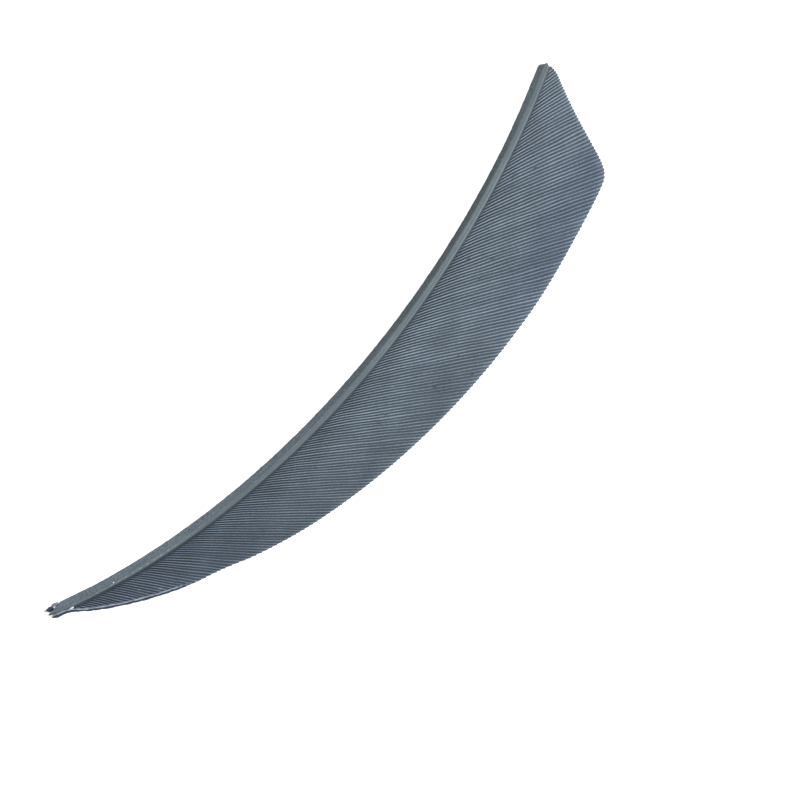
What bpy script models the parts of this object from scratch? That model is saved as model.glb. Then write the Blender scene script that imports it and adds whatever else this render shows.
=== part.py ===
"""Goose quill feather: a split half with one vane, its base ground flat and its vane trimmed to a shield.

Metres, +Z up. X runs along the feather from its narrow end to its wide end, and the vane lies towards -Y.
The feather lies on Z = 0, on the lower edge of its shaft and the trimmed edge of its vane.

Inside this file a place on the feather is given by two lengths. "along" is the distance from the narrow
end, measured along the outer edge of the shaft, and "across" is the distance from that edge to the vane.
"""
import math

import bmesh
import bpy
from mathutils import Vector, geometry

# The shaft, seen from above
SHAFT_SPAN = 0.1245
BOW_HANDLE_NARROW = (0.0380, 0.0163)
BOW_HANDLE_WIDE = (0.0860, 0.0145)
GROUND_REACH = (0.00138, 0.00112, 0.00081)
SHAFT_WIDTH = (0.00178, 0.00207, 0.00183)

# The shaft's section: heights above the surface that the feather lies on
RIDGE_HEIGHT = (0.00110, 0.00135, 0.00125)
LIP_RISE = (0.00008, 0.00002, -0.00010)
LIP_ROUNDING = 0.00018
INNER_WALL_DEPTH = 0.00080
FOOT_WIDTH = 0.00018
SHAFT_STATION_STEP = 0.0030

# The shaft's two ends: the narrow one is cut at a slant, the wide one straight across
NARROW_SLANT = 2.3
NARROW_SLANT_FADE = 0.0060
NARROW_END_SCALE = 0.67
NARROW_TAPER = 0.0030
NARROW_TAPER_STEPS = 3
WIDE_ROUNDING = 0.0008
WIDE_ROUNDING_ANGLES = (90, 65, 40, 0)
CRUMB_PLACE = (-0.00215, 0.00040)
CRUMB_LENGTH = 0.00150
CRUMB_WIDTH = 0.00110
CRUMB_HEIGHT = 0.00042

# The vane's trimmed outline
FRONT_START = 0.00155
VANE_REACH = 0.0185
FRONT_LENGTH = 0.1106
FRONT_POWER = 0.77
BACK_START = 0.0029
BACK_SLOPE = 0.90
BACK_CURVE = 31.8
BACK_END_DROP = 0.0006
BACK_END_RUN = 0.00035
CORNER_BLEND = 0.0014

# The barbs
BARB_PITCH_NARROW = 0.00060
BARB_PITCH_WIDE = 0.00085
BARB_LEAN_MIDDLE = math.radians(38.0)
BARB_LEAN_ROOT_DROP = math.radians(7.0)
BARB_LEAN_ROOT_RUN = 0.0014
BARB_LEAN_PER_METRE = math.radians(580.0)
SHORTEST_BARB = 0.00020
TOOTH_DEPTH = 0.00022
WEB_ARCH = 0.00012
VANE_ROWS = 4
ROOT_CROWDING = 1.25

# The vane's thickness and how it lies
VANE_THICKNESS = 0.00034
VANE_GAP = 0.0003
VANE_ROOT_HEIGHT = 0.00088
VANE_CAMBER = 0.00060
NARROW_EDGE_LIFT = 0.00055
EDGE_LIFT_LENGTH = 0.055

# Finishes: colour, roughness
SHAFT_FINISH = ((0.20, 0.235, 0.24), 0.45)
VANE_FINISH = ((0.19, 0.235, 0.28), 0.60)


def three_point(values: tuple[float, float, float], part: float) -> float:
    """Curve through a value at the narrow end, the middle and the wide end."""
    narrow, middle, wide = values
    bulge = middle - (narrow + wide) / 2
    return narrow + (wide - narrow) * part + bulge * 4 * part * (1 - part)


class ShaftLine:
    """The outer edge of the shaft seen from above: one bowed curve, measured by its length."""

    def __init__(self, steps: int = 400) -> None:
        start = Vector((0.0, 0.0))
        end = Vector((SHAFT_SPAN, 0.0))
        first_handle = Vector((BOW_HANDLE_NARROW[0], -BOW_HANDLE_NARROW[1]))
        second_handle = Vector((BOW_HANDLE_WIDE[0], -BOW_HANDLE_WIDE[1]))
        self.points = geometry.interpolate_bezier(start, first_handle, second_handle, end, steps + 1)
        self.lengths = [0.0]
        for before, after in zip(self.points, self.points[1:]):
            self.lengths.append(self.lengths[-1] + (after - before).length)
        self.length = self.lengths[-1]

    def place(self, along: float, across: float) -> Vector:
        """Point in the XY plane, also a little past either end."""
        last = len(self.points) - 2
        step = int(along / self.length * (last + 1))
        step = max(0, min(last, step))
        while step < last and self.lengths[step + 1] < along:
            step += 1
        while step > 0 and self.lengths[step] > along:
            step -= 1
        before = self.points[step]
        direction = (self.points[step + 1] - before).normalized()
        towards_vane = Vector((direction.y, -direction.x))
        return before + direction * (along - self.lengths[step]) + towards_vane * across


class BarbLean:
    """How far a barb has run along the shaft by the time it is a given distance out from its root."""

    def __init__(self, step: float = 0.0001) -> None:
        self.step = step
        self.runs = [0.0]
        out = step / 2
        while out < VANE_REACH + 0.002:
            drop = BARB_LEAN_ROOT_DROP * math.exp(-out / BARB_LEAN_ROOT_RUN)
            lean = BARB_LEAN_MIDDLE + BARB_LEAN_PER_METRE * out - drop
            self.runs.append(self.runs[-1] + step / math.tan(lean))
            out += step

    def run(self, out: float) -> float:
        """Distance run along the shaft at this distance out."""
        place = max(0.0, out) / self.step
        index = min(int(place), len(self.runs) - 2)
        return self.runs[index] + (place - index) * (self.runs[index + 1] - self.runs[index])


def trimmed_edge(along: float, shaft_length: float) -> float:
    """Distance across of the trimmed edge: a parabola-like front, a round corner and a slanted back."""
    front_part = min(1.0, max(0.0, along) / FRONT_LENGTH)
    front = FRONT_START + (VANE_REACH - FRONT_START) * math.sin(math.pi / 2 * front_part ** FRONT_POWER)
    to_end = shaft_length - along
    end_drop = BACK_END_DROP * math.exp(-to_end / BACK_END_RUN)
    back = BACK_START + BACK_SLOPE * to_end + BACK_CURVE * to_end ** 2 - end_drop
    nearer = min(front, back)
    farther = max(front, back)
    return nearer - CORNER_BLEND * math.log(1 + math.exp((nearer - farther) / CORNER_BLEND))


def vane_root(along: float, shaft_length: float) -> float:
    """Distance across at which the vane starts."""
    return three_point(SHAFT_WIDTH, along / shaft_length) + VANE_GAP


def barb_tip(root_along: float, shaft_length: float, lean: BarbLean) -> float:
    """Distance out from its root at which a barb meets the trimmed edge."""
    root_across = vane_root(root_along, shaft_length)
    short = 0.0
    long = VANE_REACH
    for _ in range(40):
        middle = (short + long) / 2
        edge = trimmed_edge(root_along + lean.run(middle), shaft_length)
        if root_across + middle < edge:
            short = middle
        else:
            long = middle
    return short


def barb_roots(shaft_length: float, lean: BarbLean) -> list[float]:
    """Places along the shaft where a barb grows that is long enough to be kept by the trimming."""
    roots = []
    along = 0.0
    while along < shaft_length:
        if barb_tip(along, shaft_length, lean) > SHORTEST_BARB:
            roots.append(along)
        part = along / shaft_length
        along += BARB_PITCH_NARROW + (BARB_PITCH_WIDE - BARB_PITCH_NARROW) * part
    return roots


def vane_height(tip_along: float, part_out: float, barb_length: float) -> float:
    """Height of the middle of the vane's thickness, part_out of the way from its root to its edge."""
    lift_part = max(0.0, 1 - tip_along / EDGE_LIFT_LENGTH)
    edge_height = VANE_THICKNESS / 2 + NARROW_EDGE_LIFT * lift_part ** 2
    camber = VANE_CAMBER * barb_length / VANE_REACH
    straight = VANE_ROOT_HEIGHT + (edge_height - VANE_ROOT_HEIGHT) * part_out
    return straight + camber * 4 * part_out * (1 - part_out)


def make_material(name: str, finish: tuple[tuple[float, float, float], float]) -> bpy.types.Material:
    """Principled material with a plain colour and roughness."""
    colour, roughness = finish
    material = bpy.data.materials.new(name)
    material.use_nodes = True
    shader = material.node_tree.nodes["Principled BSDF"]
    shader.inputs["Base Color"].default_value = (*colour, 1.0)
    shader.inputs["Roughness"].default_value = roughness
    shader.inputs["Metallic"].default_value = 0.0
    material.diffuse_color = (*colour, 1.0)
    return material


def make_object(name: str, bm: bmesh.types.BMesh, material: bpy.types.Material,
                collection: bpy.types.Collection) -> bpy.types.Object:
    """Object from a finished bmesh, shaded smooth with its edges kept sharp."""
    mesh = bpy.data.meshes.new(name)
    bm.to_mesh(mesh)
    bm.free()
    mesh.materials.append(material)
    mesh.shade_smooth()
    mesh.set_sharp_from_angle(angle=math.radians(35))
    part = bpy.data.objects.new(name, mesh)
    collection.objects.link(part)
    return part


def shaft_section(along: float, shaft_length: float) -> list[tuple[float, float]]:
    """Section of the ground half shaft as (across, height) points, counted from its foot over its ridge."""
    part = along / shaft_length
    reach = three_point(GROUND_REACH, part)
    width = three_point(SHAFT_WIDTH, part)
    height = three_point(RIDGE_HEIGHT, part)
    wall_foot = height - INNER_WALL_DEPTH
    section = [
        (0.0, FOOT_WIDTH / 3),
        (reach - LIP_ROUNDING / 2, height - LIP_ROUNDING / 2),
        (reach + LIP_ROUNDING / 2, height),
        (width - LIP_ROUNDING, height + three_point(LIP_RISE, part)),
        (width, height - LIP_ROUNDING),
        (width, wall_foot),
        (width / 2, wall_foot / 3),
        (FOOT_WIDTH, 0.0),
    ]
    # The narrow end was cut from the thin tip of the quill, so its section shrinks
    taper = NARROW_END_SCALE + (1 - NARROW_END_SCALE) * min(1.0, along / NARROW_TAPER) ** 0.5
    # The wide end is a little rounded at its outer corner
    short = max(0.0, WIDE_ROUNDING - (shaft_length - along))
    retreat = WIDE_ROUNDING - math.sqrt(WIDE_ROUNDING ** 2 - short ** 2)
    squeeze = (width - retreat) / width
    return [((width - (width - across) * squeeze) * taper, level * taper) for across, level in section]


def slanted(along: float, across: float) -> float:
    """Distance along once the narrow end's slanted cut has drawn the lip past the ground face."""
    fade = max(0.0, 1 - along / NARROW_SLANT_FADE) ** 2
    return along - NARROW_SLANT * across * fade


def build_crumb(line: ShaftLine, collection: bpy.types.Collection) -> bpy.types.Object:
    """The torn crumb of pith on the slanted end, a lump that is joined to the shaft."""
    bm = bmesh.new()
    bmesh.ops.create_icosphere(bm, subdivisions=2, radius=0.5)
    for vertex in bm.verts:
        along = CRUMB_PLACE[0] + vertex.co.x * CRUMB_LENGTH
        across = CRUMB_PLACE[1] + vertex.co.y * CRUMB_WIDTH
        place = line.place(along, across)
        vertex.co = (place.x, place.y, (vertex.co.z + 0.5) * CRUMB_HEIGHT)
    bmesh.ops.recalc_face_normals(bm, faces=bm.faces)
    crumb = make_object("crumb", bm, make_material("torn pith", SHAFT_FINISH), collection)
    crumb.display_type = "WIRE"
    crumb.hide_render = True
    return crumb


def build_shaft(line: ShaftLine, crumb: bpy.types.Object,
                collection: bpy.types.Collection) -> bpy.types.Object:
    """The ground half shaft, lofted because its section changes along its length, with its crumb."""
    narrow = [NARROW_TAPER * step / NARROW_TAPER_STEPS for step in range(NARROW_TAPER_STEPS)]
    inner_length = line.length - NARROW_TAPER - WIDE_ROUNDING
    inner_steps = round(inner_length / SHAFT_STATION_STEP)
    inner = [NARROW_TAPER + inner_length * step / inner_steps for step in range(inner_steps)]
    rounding = [1 - math.cos(math.radians(angle)) for angle in WIDE_ROUNDING_ANGLES]
    wide = [line.length - WIDE_ROUNDING * part for part in rounding]
    stations = narrow + inner + wide

    bm = bmesh.new()
    rings = []
    for along in stations:
        ring = []
        for across, height in shaft_section(along, line.length):
            place = line.place(slanted(along, across), across)
            ring.append(bm.verts.new((place.x, place.y, height)))
        rings.append(ring)
    for ring, following in zip(rings, rings[1:]):
        for index in range(len(ring)):
            after = (index + 1) % len(ring)
            bm.faces.new((ring[index], ring[after], following[after], following[index]))
    bm.faces.new(reversed(rings[0]))
    bm.faces.new(rings[-1])
    bmesh.ops.recalc_face_normals(bm, faces=bm.faces)
    shaft = make_object("shaft", bm, make_material("ground quill", SHAFT_FINISH), collection)
    join = shaft.modifiers.new("crumb", "BOOLEAN")
    join.operation = "UNION"
    join.solver = "EXACT"
    join.object = crumb
    return shaft


def build_vane(line: ShaftLine, collection: bpy.types.Collection) -> bpy.types.Object:
    """The vane: a thin sheet laid out barb by barb, which arches up between one barb and the next.

    Each barb runs in the groove between two arches and ends in a tooth of the trimmed edge.
    """
    lean = BarbLean()
    roots = barb_roots(line.length, lean)
    columns = 2 * len(roots) - 2
    bm = bmesh.new()
    bmesh.ops.create_grid(bm, x_segments=columns, y_segments=VANE_ROWS, size=1.0)
    for vertex in bm.verts:
        column = round((vertex.co.x + 1) / 2 * columns)
        part_out = ((vertex.co.y + 1) / 2) ** ROOT_CROWDING
        barb = column // 2
        on_arch = column % 2 == 1
        root_along = roots[barb]
        if on_arch:
            root_along = (roots[barb] + roots[barb + 1]) / 2
        barb_length = barb_tip(root_along, line.length, lean)
        if on_arch:
            barb_length -= min(TOOTH_DEPTH, barb_length / 3)
        out = barb_length * part_out
        place = line.place(root_along + lean.run(out), vane_root(root_along, line.length) + out)
        tip_along = root_along + lean.run(barb_length)
        height = vane_height(tip_along, part_out, barb_length)
        if on_arch:
            height += WEB_ARCH
        vertex.co = (place.x, place.y, height)
    bmesh.ops.recalc_face_normals(bm, faces=bm.faces)
    vane = make_object("vane", bm, make_material("feather vane", VANE_FINISH), collection)
    sheet = vane.modifiers.new("thickness", "SOLIDIFY")
    sheet.thickness = VANE_THICKNESS
    sheet.offset = 0.0
    return vane


def rest_on_origin(parts: list[bpy.types.Object], collection: bpy.types.Collection) -> None:
    """Hang the parts and the crumb on an empty and move it so that the parts' box stands on the origin."""
    holder = bpy.data.objects.new("feather frame", None)
    collection.objects.link(holder)
    bpy.context.view_layer.update()
    depsgraph = bpy.context.evaluated_depsgraph_get()
    corners = []
    for part in parts:
        if not part.hide_render:
            corners.extend(Vector(corner) for corner in part.evaluated_get(depsgraph).bound_box)
        part.parent = holder
    low = Vector([min(corner[axis] for corner in corners) for axis in range(3)])
    high = Vector([max(corner[axis] for corner in corners) for axis in range(3)])
    holder.location = (-(low.x + high.x) / 2, -(low.y + high.y) / 2, -low.z)
    bpy.context.view_layer.update()


def main() -> None:
    """Clear the scene and build the feather."""
    for leftover in list(bpy.data.objects):
        bpy.data.objects.remove(leftover, do_unlink=True)
    collection = bpy.data.collections.new("goose quill feather")
    joined = bpy.data.collections.new("joined forms")
    for branch in (collection, joined):
        bpy.context.scene.collection.children.link(branch)
    line = ShaftLine()
    crumb = build_crumb(line, joined)
    shaft = build_shaft(line, crumb, collection)
    vane = build_vane(line, collection)
    rest_on_origin([shaft, vane, crumb], collection)


main()
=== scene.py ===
"""Looks of a split goose quill feather that lies on a pale floor.

The frame's two solids give the places. Here the shaft is a ground strip with fine pores, a burr along its
ridge and a streaked lip, and the vane is made of its barbs, the arched webs between them and the curled rim
of its narrow end.

Metres, +Z up. A place on the feather is given by "along", the distance from the narrow end measured on the
outer edge of the shaft, and "across", the distance from that edge towards the vane. "out" is how far a point
of a barb is from the root of the vane, square to the shaft.
"""
import logging
import math
from dataclasses import dataclass, field
from enum import Enum

import bpy
import numpy as np
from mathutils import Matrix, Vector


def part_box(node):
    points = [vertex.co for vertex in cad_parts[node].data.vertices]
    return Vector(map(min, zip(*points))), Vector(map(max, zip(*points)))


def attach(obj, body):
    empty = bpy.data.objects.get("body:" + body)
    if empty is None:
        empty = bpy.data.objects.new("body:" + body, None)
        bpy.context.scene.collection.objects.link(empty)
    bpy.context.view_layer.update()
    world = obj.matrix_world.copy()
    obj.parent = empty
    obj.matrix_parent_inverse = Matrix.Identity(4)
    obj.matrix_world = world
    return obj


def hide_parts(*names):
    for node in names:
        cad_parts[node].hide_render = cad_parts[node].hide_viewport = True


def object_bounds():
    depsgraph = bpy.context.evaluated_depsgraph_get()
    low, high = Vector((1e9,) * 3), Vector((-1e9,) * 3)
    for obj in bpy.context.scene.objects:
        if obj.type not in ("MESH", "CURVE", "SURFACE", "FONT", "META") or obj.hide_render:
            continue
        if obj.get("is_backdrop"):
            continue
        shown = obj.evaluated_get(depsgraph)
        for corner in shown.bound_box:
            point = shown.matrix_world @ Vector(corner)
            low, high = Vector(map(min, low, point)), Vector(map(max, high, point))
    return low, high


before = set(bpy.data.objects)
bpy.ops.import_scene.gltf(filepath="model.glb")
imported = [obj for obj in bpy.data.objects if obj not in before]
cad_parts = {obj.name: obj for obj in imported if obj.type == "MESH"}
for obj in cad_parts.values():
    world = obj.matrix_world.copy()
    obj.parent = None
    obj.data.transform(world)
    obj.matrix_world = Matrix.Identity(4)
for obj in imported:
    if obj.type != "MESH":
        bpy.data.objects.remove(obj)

LOG = logging.getLogger("feather")
Array = np.ndarray
Colour = tuple[float, float, float]
Source = bpy.types.NodeSocket | float | tuple
MILLIMETRE = 0.001
SHARP_ANGLE = math.radians(80)
CAD_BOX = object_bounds()


class Slot(Enum):
    """The record's material slots."""

    QUILL = "quill"
    VANE = "vane"


class Stretch(Enum):
    """The three stretches of the vane that are made as one piece each."""

    NARROW = "narrow"
    MIDDLE = "middle"
    WIDE = "wide"


class MarkKind(Enum):
    """What a small mark in the vane is."""

    GAP = "gap"
    DOT = "dot"
    FLECK = "fleck"


def three_point(values: tuple[float, float, float], part: Array) -> Array:
    """Curve through a value at the narrow end, the middle and the wide end.

    Args:
        values: The three values.
        part: Part of the way from the narrow end to the wide end, 0 to 1.

    Returns:
        The value at each part.
    """
    narrow, middle, wide = values
    bulge = middle - (narrow + wide) / 2
    return narrow + (wide - narrow) * part + bulge * 4 * part * (1 - part)


def smooth_step(value: Array, zero: float, one: float) -> Array:
    """Change from 0 to 1 between two values, level at both ends.

    Args:
        value: Where to read the curve.
        zero: Value at which it leaves 0.
        one: Value at which it reaches 1, on either side of the other.

    Returns:
        The height of the curve.
    """
    part = np.clip((value - zero) / (one - zero), 0.0, 1.0)
    return part * part * (3 - 2 * part)


def soft_bump(value: Array, centre: float, width: float) -> Array:
    """Bell curve of height 1, a width away from its centre at about a third."""
    return np.exp(-((value - centre) / width) ** 2)


@dataclass(frozen=True)
class Step:
    """Smooth step that is 0 at one value and 1 at another, whichever of them is larger."""

    zero: float
    one: float

    def at(self, value: Array) -> Array:
        """Height of the step."""
        return smooth_step(value, self.zero, self.one)


@dataclass(frozen=True)
class Bump:
    """Bell curve of height 1."""

    centre: float
    width: float

    def at(self, value: Array) -> Array:
        """Height of the bump."""
        return soft_bump(value, self.centre, self.width)


@dataclass(frozen=True)
class Plateau:
    """Smooth rise from 0 to 1 and, further on, a smooth fall back to 0."""

    start: float
    full_from: float
    full_to: float
    end: float

    def at(self, value: Array) -> Array:
        """Height of the plateau."""
        return smooth_step(value, self.start, self.full_from) * smooth_step(value, self.end, self.full_to)


@dataclass(frozen=True)
class Patch:
    """A lighter or darker patch: its gain, and where it lies each way. None doesn't limit it."""

    gain: float
    along: Step | Bump | Plateau | None = None
    across: Step | Bump | Plateau | None = None

    def factor(self, along: Array, across: Array) -> Array:
        """Factor on the tone, 1 outside the patch.

        Args:
            along: Places along, in the unit of the patch.
            across: Places across, in the unit of the patch.

        Returns:
            The factor at each place.
        """
        value = self.gain
        for shape, place in ((self.along, along), (self.across, across)):
            if shape is not None:
                value = value * shape.at(place)
        return 1 + value


@dataclass(frozen=True)
class Wave:
    """Smooth irregular wave between about -1 and 1: a sine for each length, in phases that the seed picks."""

    seed: int
    lengths: tuple[float, ...]
    height: float = 1.4

    def at(self, value: Array) -> Array:
        """Height of the wave at a value in the unit of its lengths.

        Args:
            value: Where to read the wave.

        Returns:
            Its height there.
        """
        phases = np.random.default_rng(self.seed).uniform(0, 2 * math.pi, len(self.lengths))
        pairs = zip(self.lengths, phases)
        sines = [np.sin(2 * math.pi * value / length + phase) for length, phase in pairs]
        return sum(sines) / len(self.lengths) * self.height


@dataclass
class ShaftLine:
    """The outer edge of the shaft seen from above: one bowed curve, measured by its length."""

    span: float = 0.1245
    handle_narrow: tuple[float, float] = (0.0380, -0.0163)
    handle_wide: tuple[float, float] = (0.0860, -0.0145)
    width: tuple[float, float, float] = (0.00178, 0.00207, 0.00183)
    vane_gap: float = 0.0003
    steps: int = 3000

    def __post_init__(self) -> None:
        """Measure the curve and find its place in the frame from the shaft's solid."""
        t = np.linspace(0, 1, self.steps + 1)[:, None]
        first = 3 * (1 - t) ** 2 * t * np.array(self.handle_narrow)
        second = 3 * (1 - t) * t ** 2 * np.array(self.handle_wide)
        self.points = first + second + t ** 3 * np.array((self.span, 0.0))
        strides = np.diff(self.points, axis=0)
        stride_lengths = np.linalg.norm(strides, axis=1)
        self.directions = strides / stride_lengths[:, None]
        self.lengths = np.concatenate(([0.0], np.cumsum(stride_lengths)))
        self.length = float(self.lengths[-1])
        towards_vane = np.stack((self.directions[:, 1], -self.directions[:, 0]), axis=-1)
        lip_edge = self.points[1:] + towards_vane * self.shaft_width(self.lengths[1:])[:, None]
        low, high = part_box("shaft")
        self.points += np.array((high.x - lip_edge[-1, 0], low.y - lip_edge[:, 1].min()))

    def place(self, along: Array, across: Array, height: Array) -> Array:
        """Points in the frame, also a little past either end of the curve.

        Args:
            along: Distances along the curve.
            across: Distances from the curve towards the vane.
            height: Heights above the floor.

        Returns:
            The points, with x, y and z in the last axis.
        """
        along, across, height = np.broadcast_arrays(along, across, height)
        step = np.clip(np.searchsorted(self.lengths, along) - 1, 0, self.steps - 1)
        direction = self.directions[step]
        onward = (along - self.lengths[step])[..., None] * direction
        towards_vane = np.stack((direction[..., 1], -direction[..., 0]), axis=-1)
        flat = self.points[step] + onward + towards_vane * across[..., None]
        return np.concatenate((flat, height[..., None]), axis=-1)

    def shaft_width(self, along: Array) -> Array:
        """Width of the shaft."""
        return three_point(self.width, along / self.length)

    def vane_root(self, along: Array) -> Array:
        """Distance across at which the vane starts."""
        return self.shaft_width(along) + self.vane_gap


@dataclass
class BarbLean:
    """How far a barb has run along the shaft by the time it is a given distance out from its root."""

    middle: float = math.radians(38.0)
    root_drop: float = math.radians(7.0)
    root_run: float = 0.0014
    per_metre: float = math.radians(580.0)
    step: float = 0.0001
    farthest: float = 0.0210

    def __post_init__(self) -> None:
        """Add up the run in small steps."""
        middles = np.arange(self.step / 2, self.farthest, self.step)
        self.outs = np.arange(len(middles) + 1) * self.step
        self.runs = np.concatenate(([0.0], np.cumsum(self.step / np.tan(self.angle(middles)))))

    def angle(self, out: Array) -> Array:
        """Angle between a barb and the shaft."""
        return self.middle + self.per_metre * out - self.root_drop * np.exp(-out / self.root_run)

    def run(self, out: Array) -> Array:
        """Distance run along the shaft, negative inside the shaft."""
        return np.interp(out, self.outs, self.runs) + np.minimum(out, 0.0) / math.tan(self.angle(0.0))


@dataclass
class VaneShape:
    """The trimmed outline of the vane, where its barbs grow and how it lies."""

    line: ShaftLine
    lean: BarbLean
    front_start: float = 0.00155
    reach: float = 0.0185
    front_length: float = 0.1106
    front_power: float = 0.77
    back_start: float = 0.0031
    back_slope: float = 0.90
    back_curve: float = 31.8
    back_end_drop: float = 0.0006
    back_end_run: float = 0.00035
    corner_blend: float = 0.0013
    pitch_narrow: float = 0.00060
    pitch_wide: float = 0.00085
    shortest: float = 0.00001
    root_jitter: float = 0.05
    root_jitter_limit: float = 0.12
    root_seed: int = 17
    end_inset: float = 0.00002
    thickness: float = 0.00034
    root_height: float = 0.00088
    camber: float = 0.00060
    edge_lift: float = 0.00055
    edge_lift_length: float = 0.055
    sway: float = 0.00007
    sway_slant: tuple[float, float] = (0.8, 0.6)
    sway_wave: Wave = Wave(23, (0.0031, 0.0047, 0.0083))
    sway_run: Step = Step(0.0, 0.0025)
    narrow_fan: float = 0.20
    narrow_fan_run: Step = Step(0.024, 0.008)
    wide_fan: float = 0.09
    wide_fan_run: Step = Step(0.100, 0.119)
    dent: float = 0.00028
    dent_place: Bump = Bump(0.0262, 0.0035)
    fullness: float = 0.00036
    fullness_run: Plateau = Plateau(0.026, 0.044, 0.090, 0.106)
    halvings: int = 40

    def __post_init__(self) -> None:
        """Find the root and the length of each barb."""
        roots = []
        along = 0.0
        while along < self.line.length:
            roots.append(along)
            part = along / self.line.length
            along += self.pitch_narrow + (self.pitch_wide - self.pitch_narrow) * part
        candidates = np.array([*roots, self.line.length - self.end_inset])
        uneven = np.random.default_rng(self.root_seed).normal(0.0, self.root_jitter, len(candidates))
        uneven = uneven.clip(-self.root_jitter_limit, self.root_jitter_limit)
        candidates[1:-1] += uneven[1:-1] * np.diff(candidates)[1:]
        self.roots = candidates[self.tip_out(candidates) > self.shortest]

    def fan(self, root_along: Array) -> Array:
        """How far barbs run along the shaft, as a share of the usual run.

        Args:
            root_along: Distances along the shaft of their roots.

        Returns:
            The share: under 1 where the barbs of the narrow end fan out, and over 1 where the last ones
            lean further.
        """
        narrow = self.narrow_fan * self.narrow_fan_run.at(root_along)
        return 1 - narrow + self.wide_fan * self.wide_fan_run.at(root_along)

    def run(self, root_along: Array, out: Array) -> Array:
        """Distance that a barb has run along the shaft, with the slow sway that neighbours share.

        Args:
            root_along: Distance along the shaft of its root.
            out: Distance out.

        Returns:
            The distance.
        """
        along_part, out_part = self.sway_slant
        sway = self.sway_wave.at(along_part * root_along + out_part * out) * self.sway
        return self.lean.run(out) * self.fan(root_along) + sway * self.sway_run.at(out)

    def edge(self, along: Array) -> Array:
        """Distance across at which the vane was trimmed.

        Args:
            along: Distances along the shaft.

        Returns:
            The smaller of a parabola-like front and a slanted back, with the corner between them rounded.
        """
        front_part = np.clip(along / self.front_length, 0.0, 1.0)
        rise = np.sin(math.pi / 2 * front_part ** self.front_power)
        front = self.front_start + (self.reach - self.front_start) * rise
        front = front - self.dent * self.dent_place.at(along) + self.fullness * self.fullness_run.at(along)
        to_end = self.line.length - along
        end_drop = self.back_end_drop * np.exp(-to_end / self.back_end_run)
        back = self.back_start + self.back_slope * to_end + self.back_curve * to_end ** 2 - end_drop
        nearer = np.minimum(front, back)
        farther = np.maximum(front, back)
        return nearer - self.corner_blend * np.log1p(np.exp((nearer - farther) / self.corner_blend))

    def tip_out(self, root_along: Array) -> Array:
        """Distance out at which barbs meet the trimmed edge.

        Args:
            root_along: Distances along the shaft of their roots.

        Returns:
            The distance for each.
        """
        root_across = self.line.vane_root(root_along)
        short = np.zeros_like(root_along)
        long = np.full_like(root_along, self.reach)
        for _ in range(self.halvings):
            middle = (short + long) / 2
            kept = root_across + middle < self.edge(root_along + self.run(root_along, middle))
            short = np.where(kept, middle, short)
            long = np.where(kept, long, middle)
        return short

    def height(self, tip_along: Array, part_out: Array, barb_length: Array) -> Array:
        """Height of the middle of the vane's thickness.

        Args:
            tip_along: Distance along the shaft of the barb's tip.
            part_out: Part of the way from the root to the trimmed edge.
            barb_length: Distance out of the barb's tip.

        Returns:
            The height above the floor.
        """
        lift = self.edge_lift * np.clip(1 - tip_along / self.edge_lift_length, 0.0, 1.0) ** 2
        edge_height = self.thickness / 2 + lift
        arch = self.camber * barb_length / self.reach * 4 * part_out * (1 - part_out)
        return self.root_height + (edge_height - self.root_height) * part_out + arch

    def angle(self, root_along: Array, out: Array) -> Array:
        """Angle between a barb and the shaft."""
        return np.arctan(np.tan(self.lean.angle(np.maximum(out, 0.0))) / self.fan(root_along))

    def pitch_square(self, root_along: float, along: Array, out: Array) -> Array:
        """Distance between neighbouring barbs, measured square to them.

        Args:
            root_along: Distance along the shaft of the barb's root.
            along: Distances along the shaft of the places.
            out: Distances out of the places.

        Returns:
            The distance at each place.
        """
        pitch = self.pitch_narrow + (self.pitch_wide - self.pitch_narrow) * along / self.line.length
        step = self.lean.step
        fan_slope = (self.fan(root_along + step) - self.fan(root_along - step)) / (2 * step)
        return pitch * (1 + self.lean.run(out) * fan_slope) * np.sin(self.angle(root_along, out))


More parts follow.
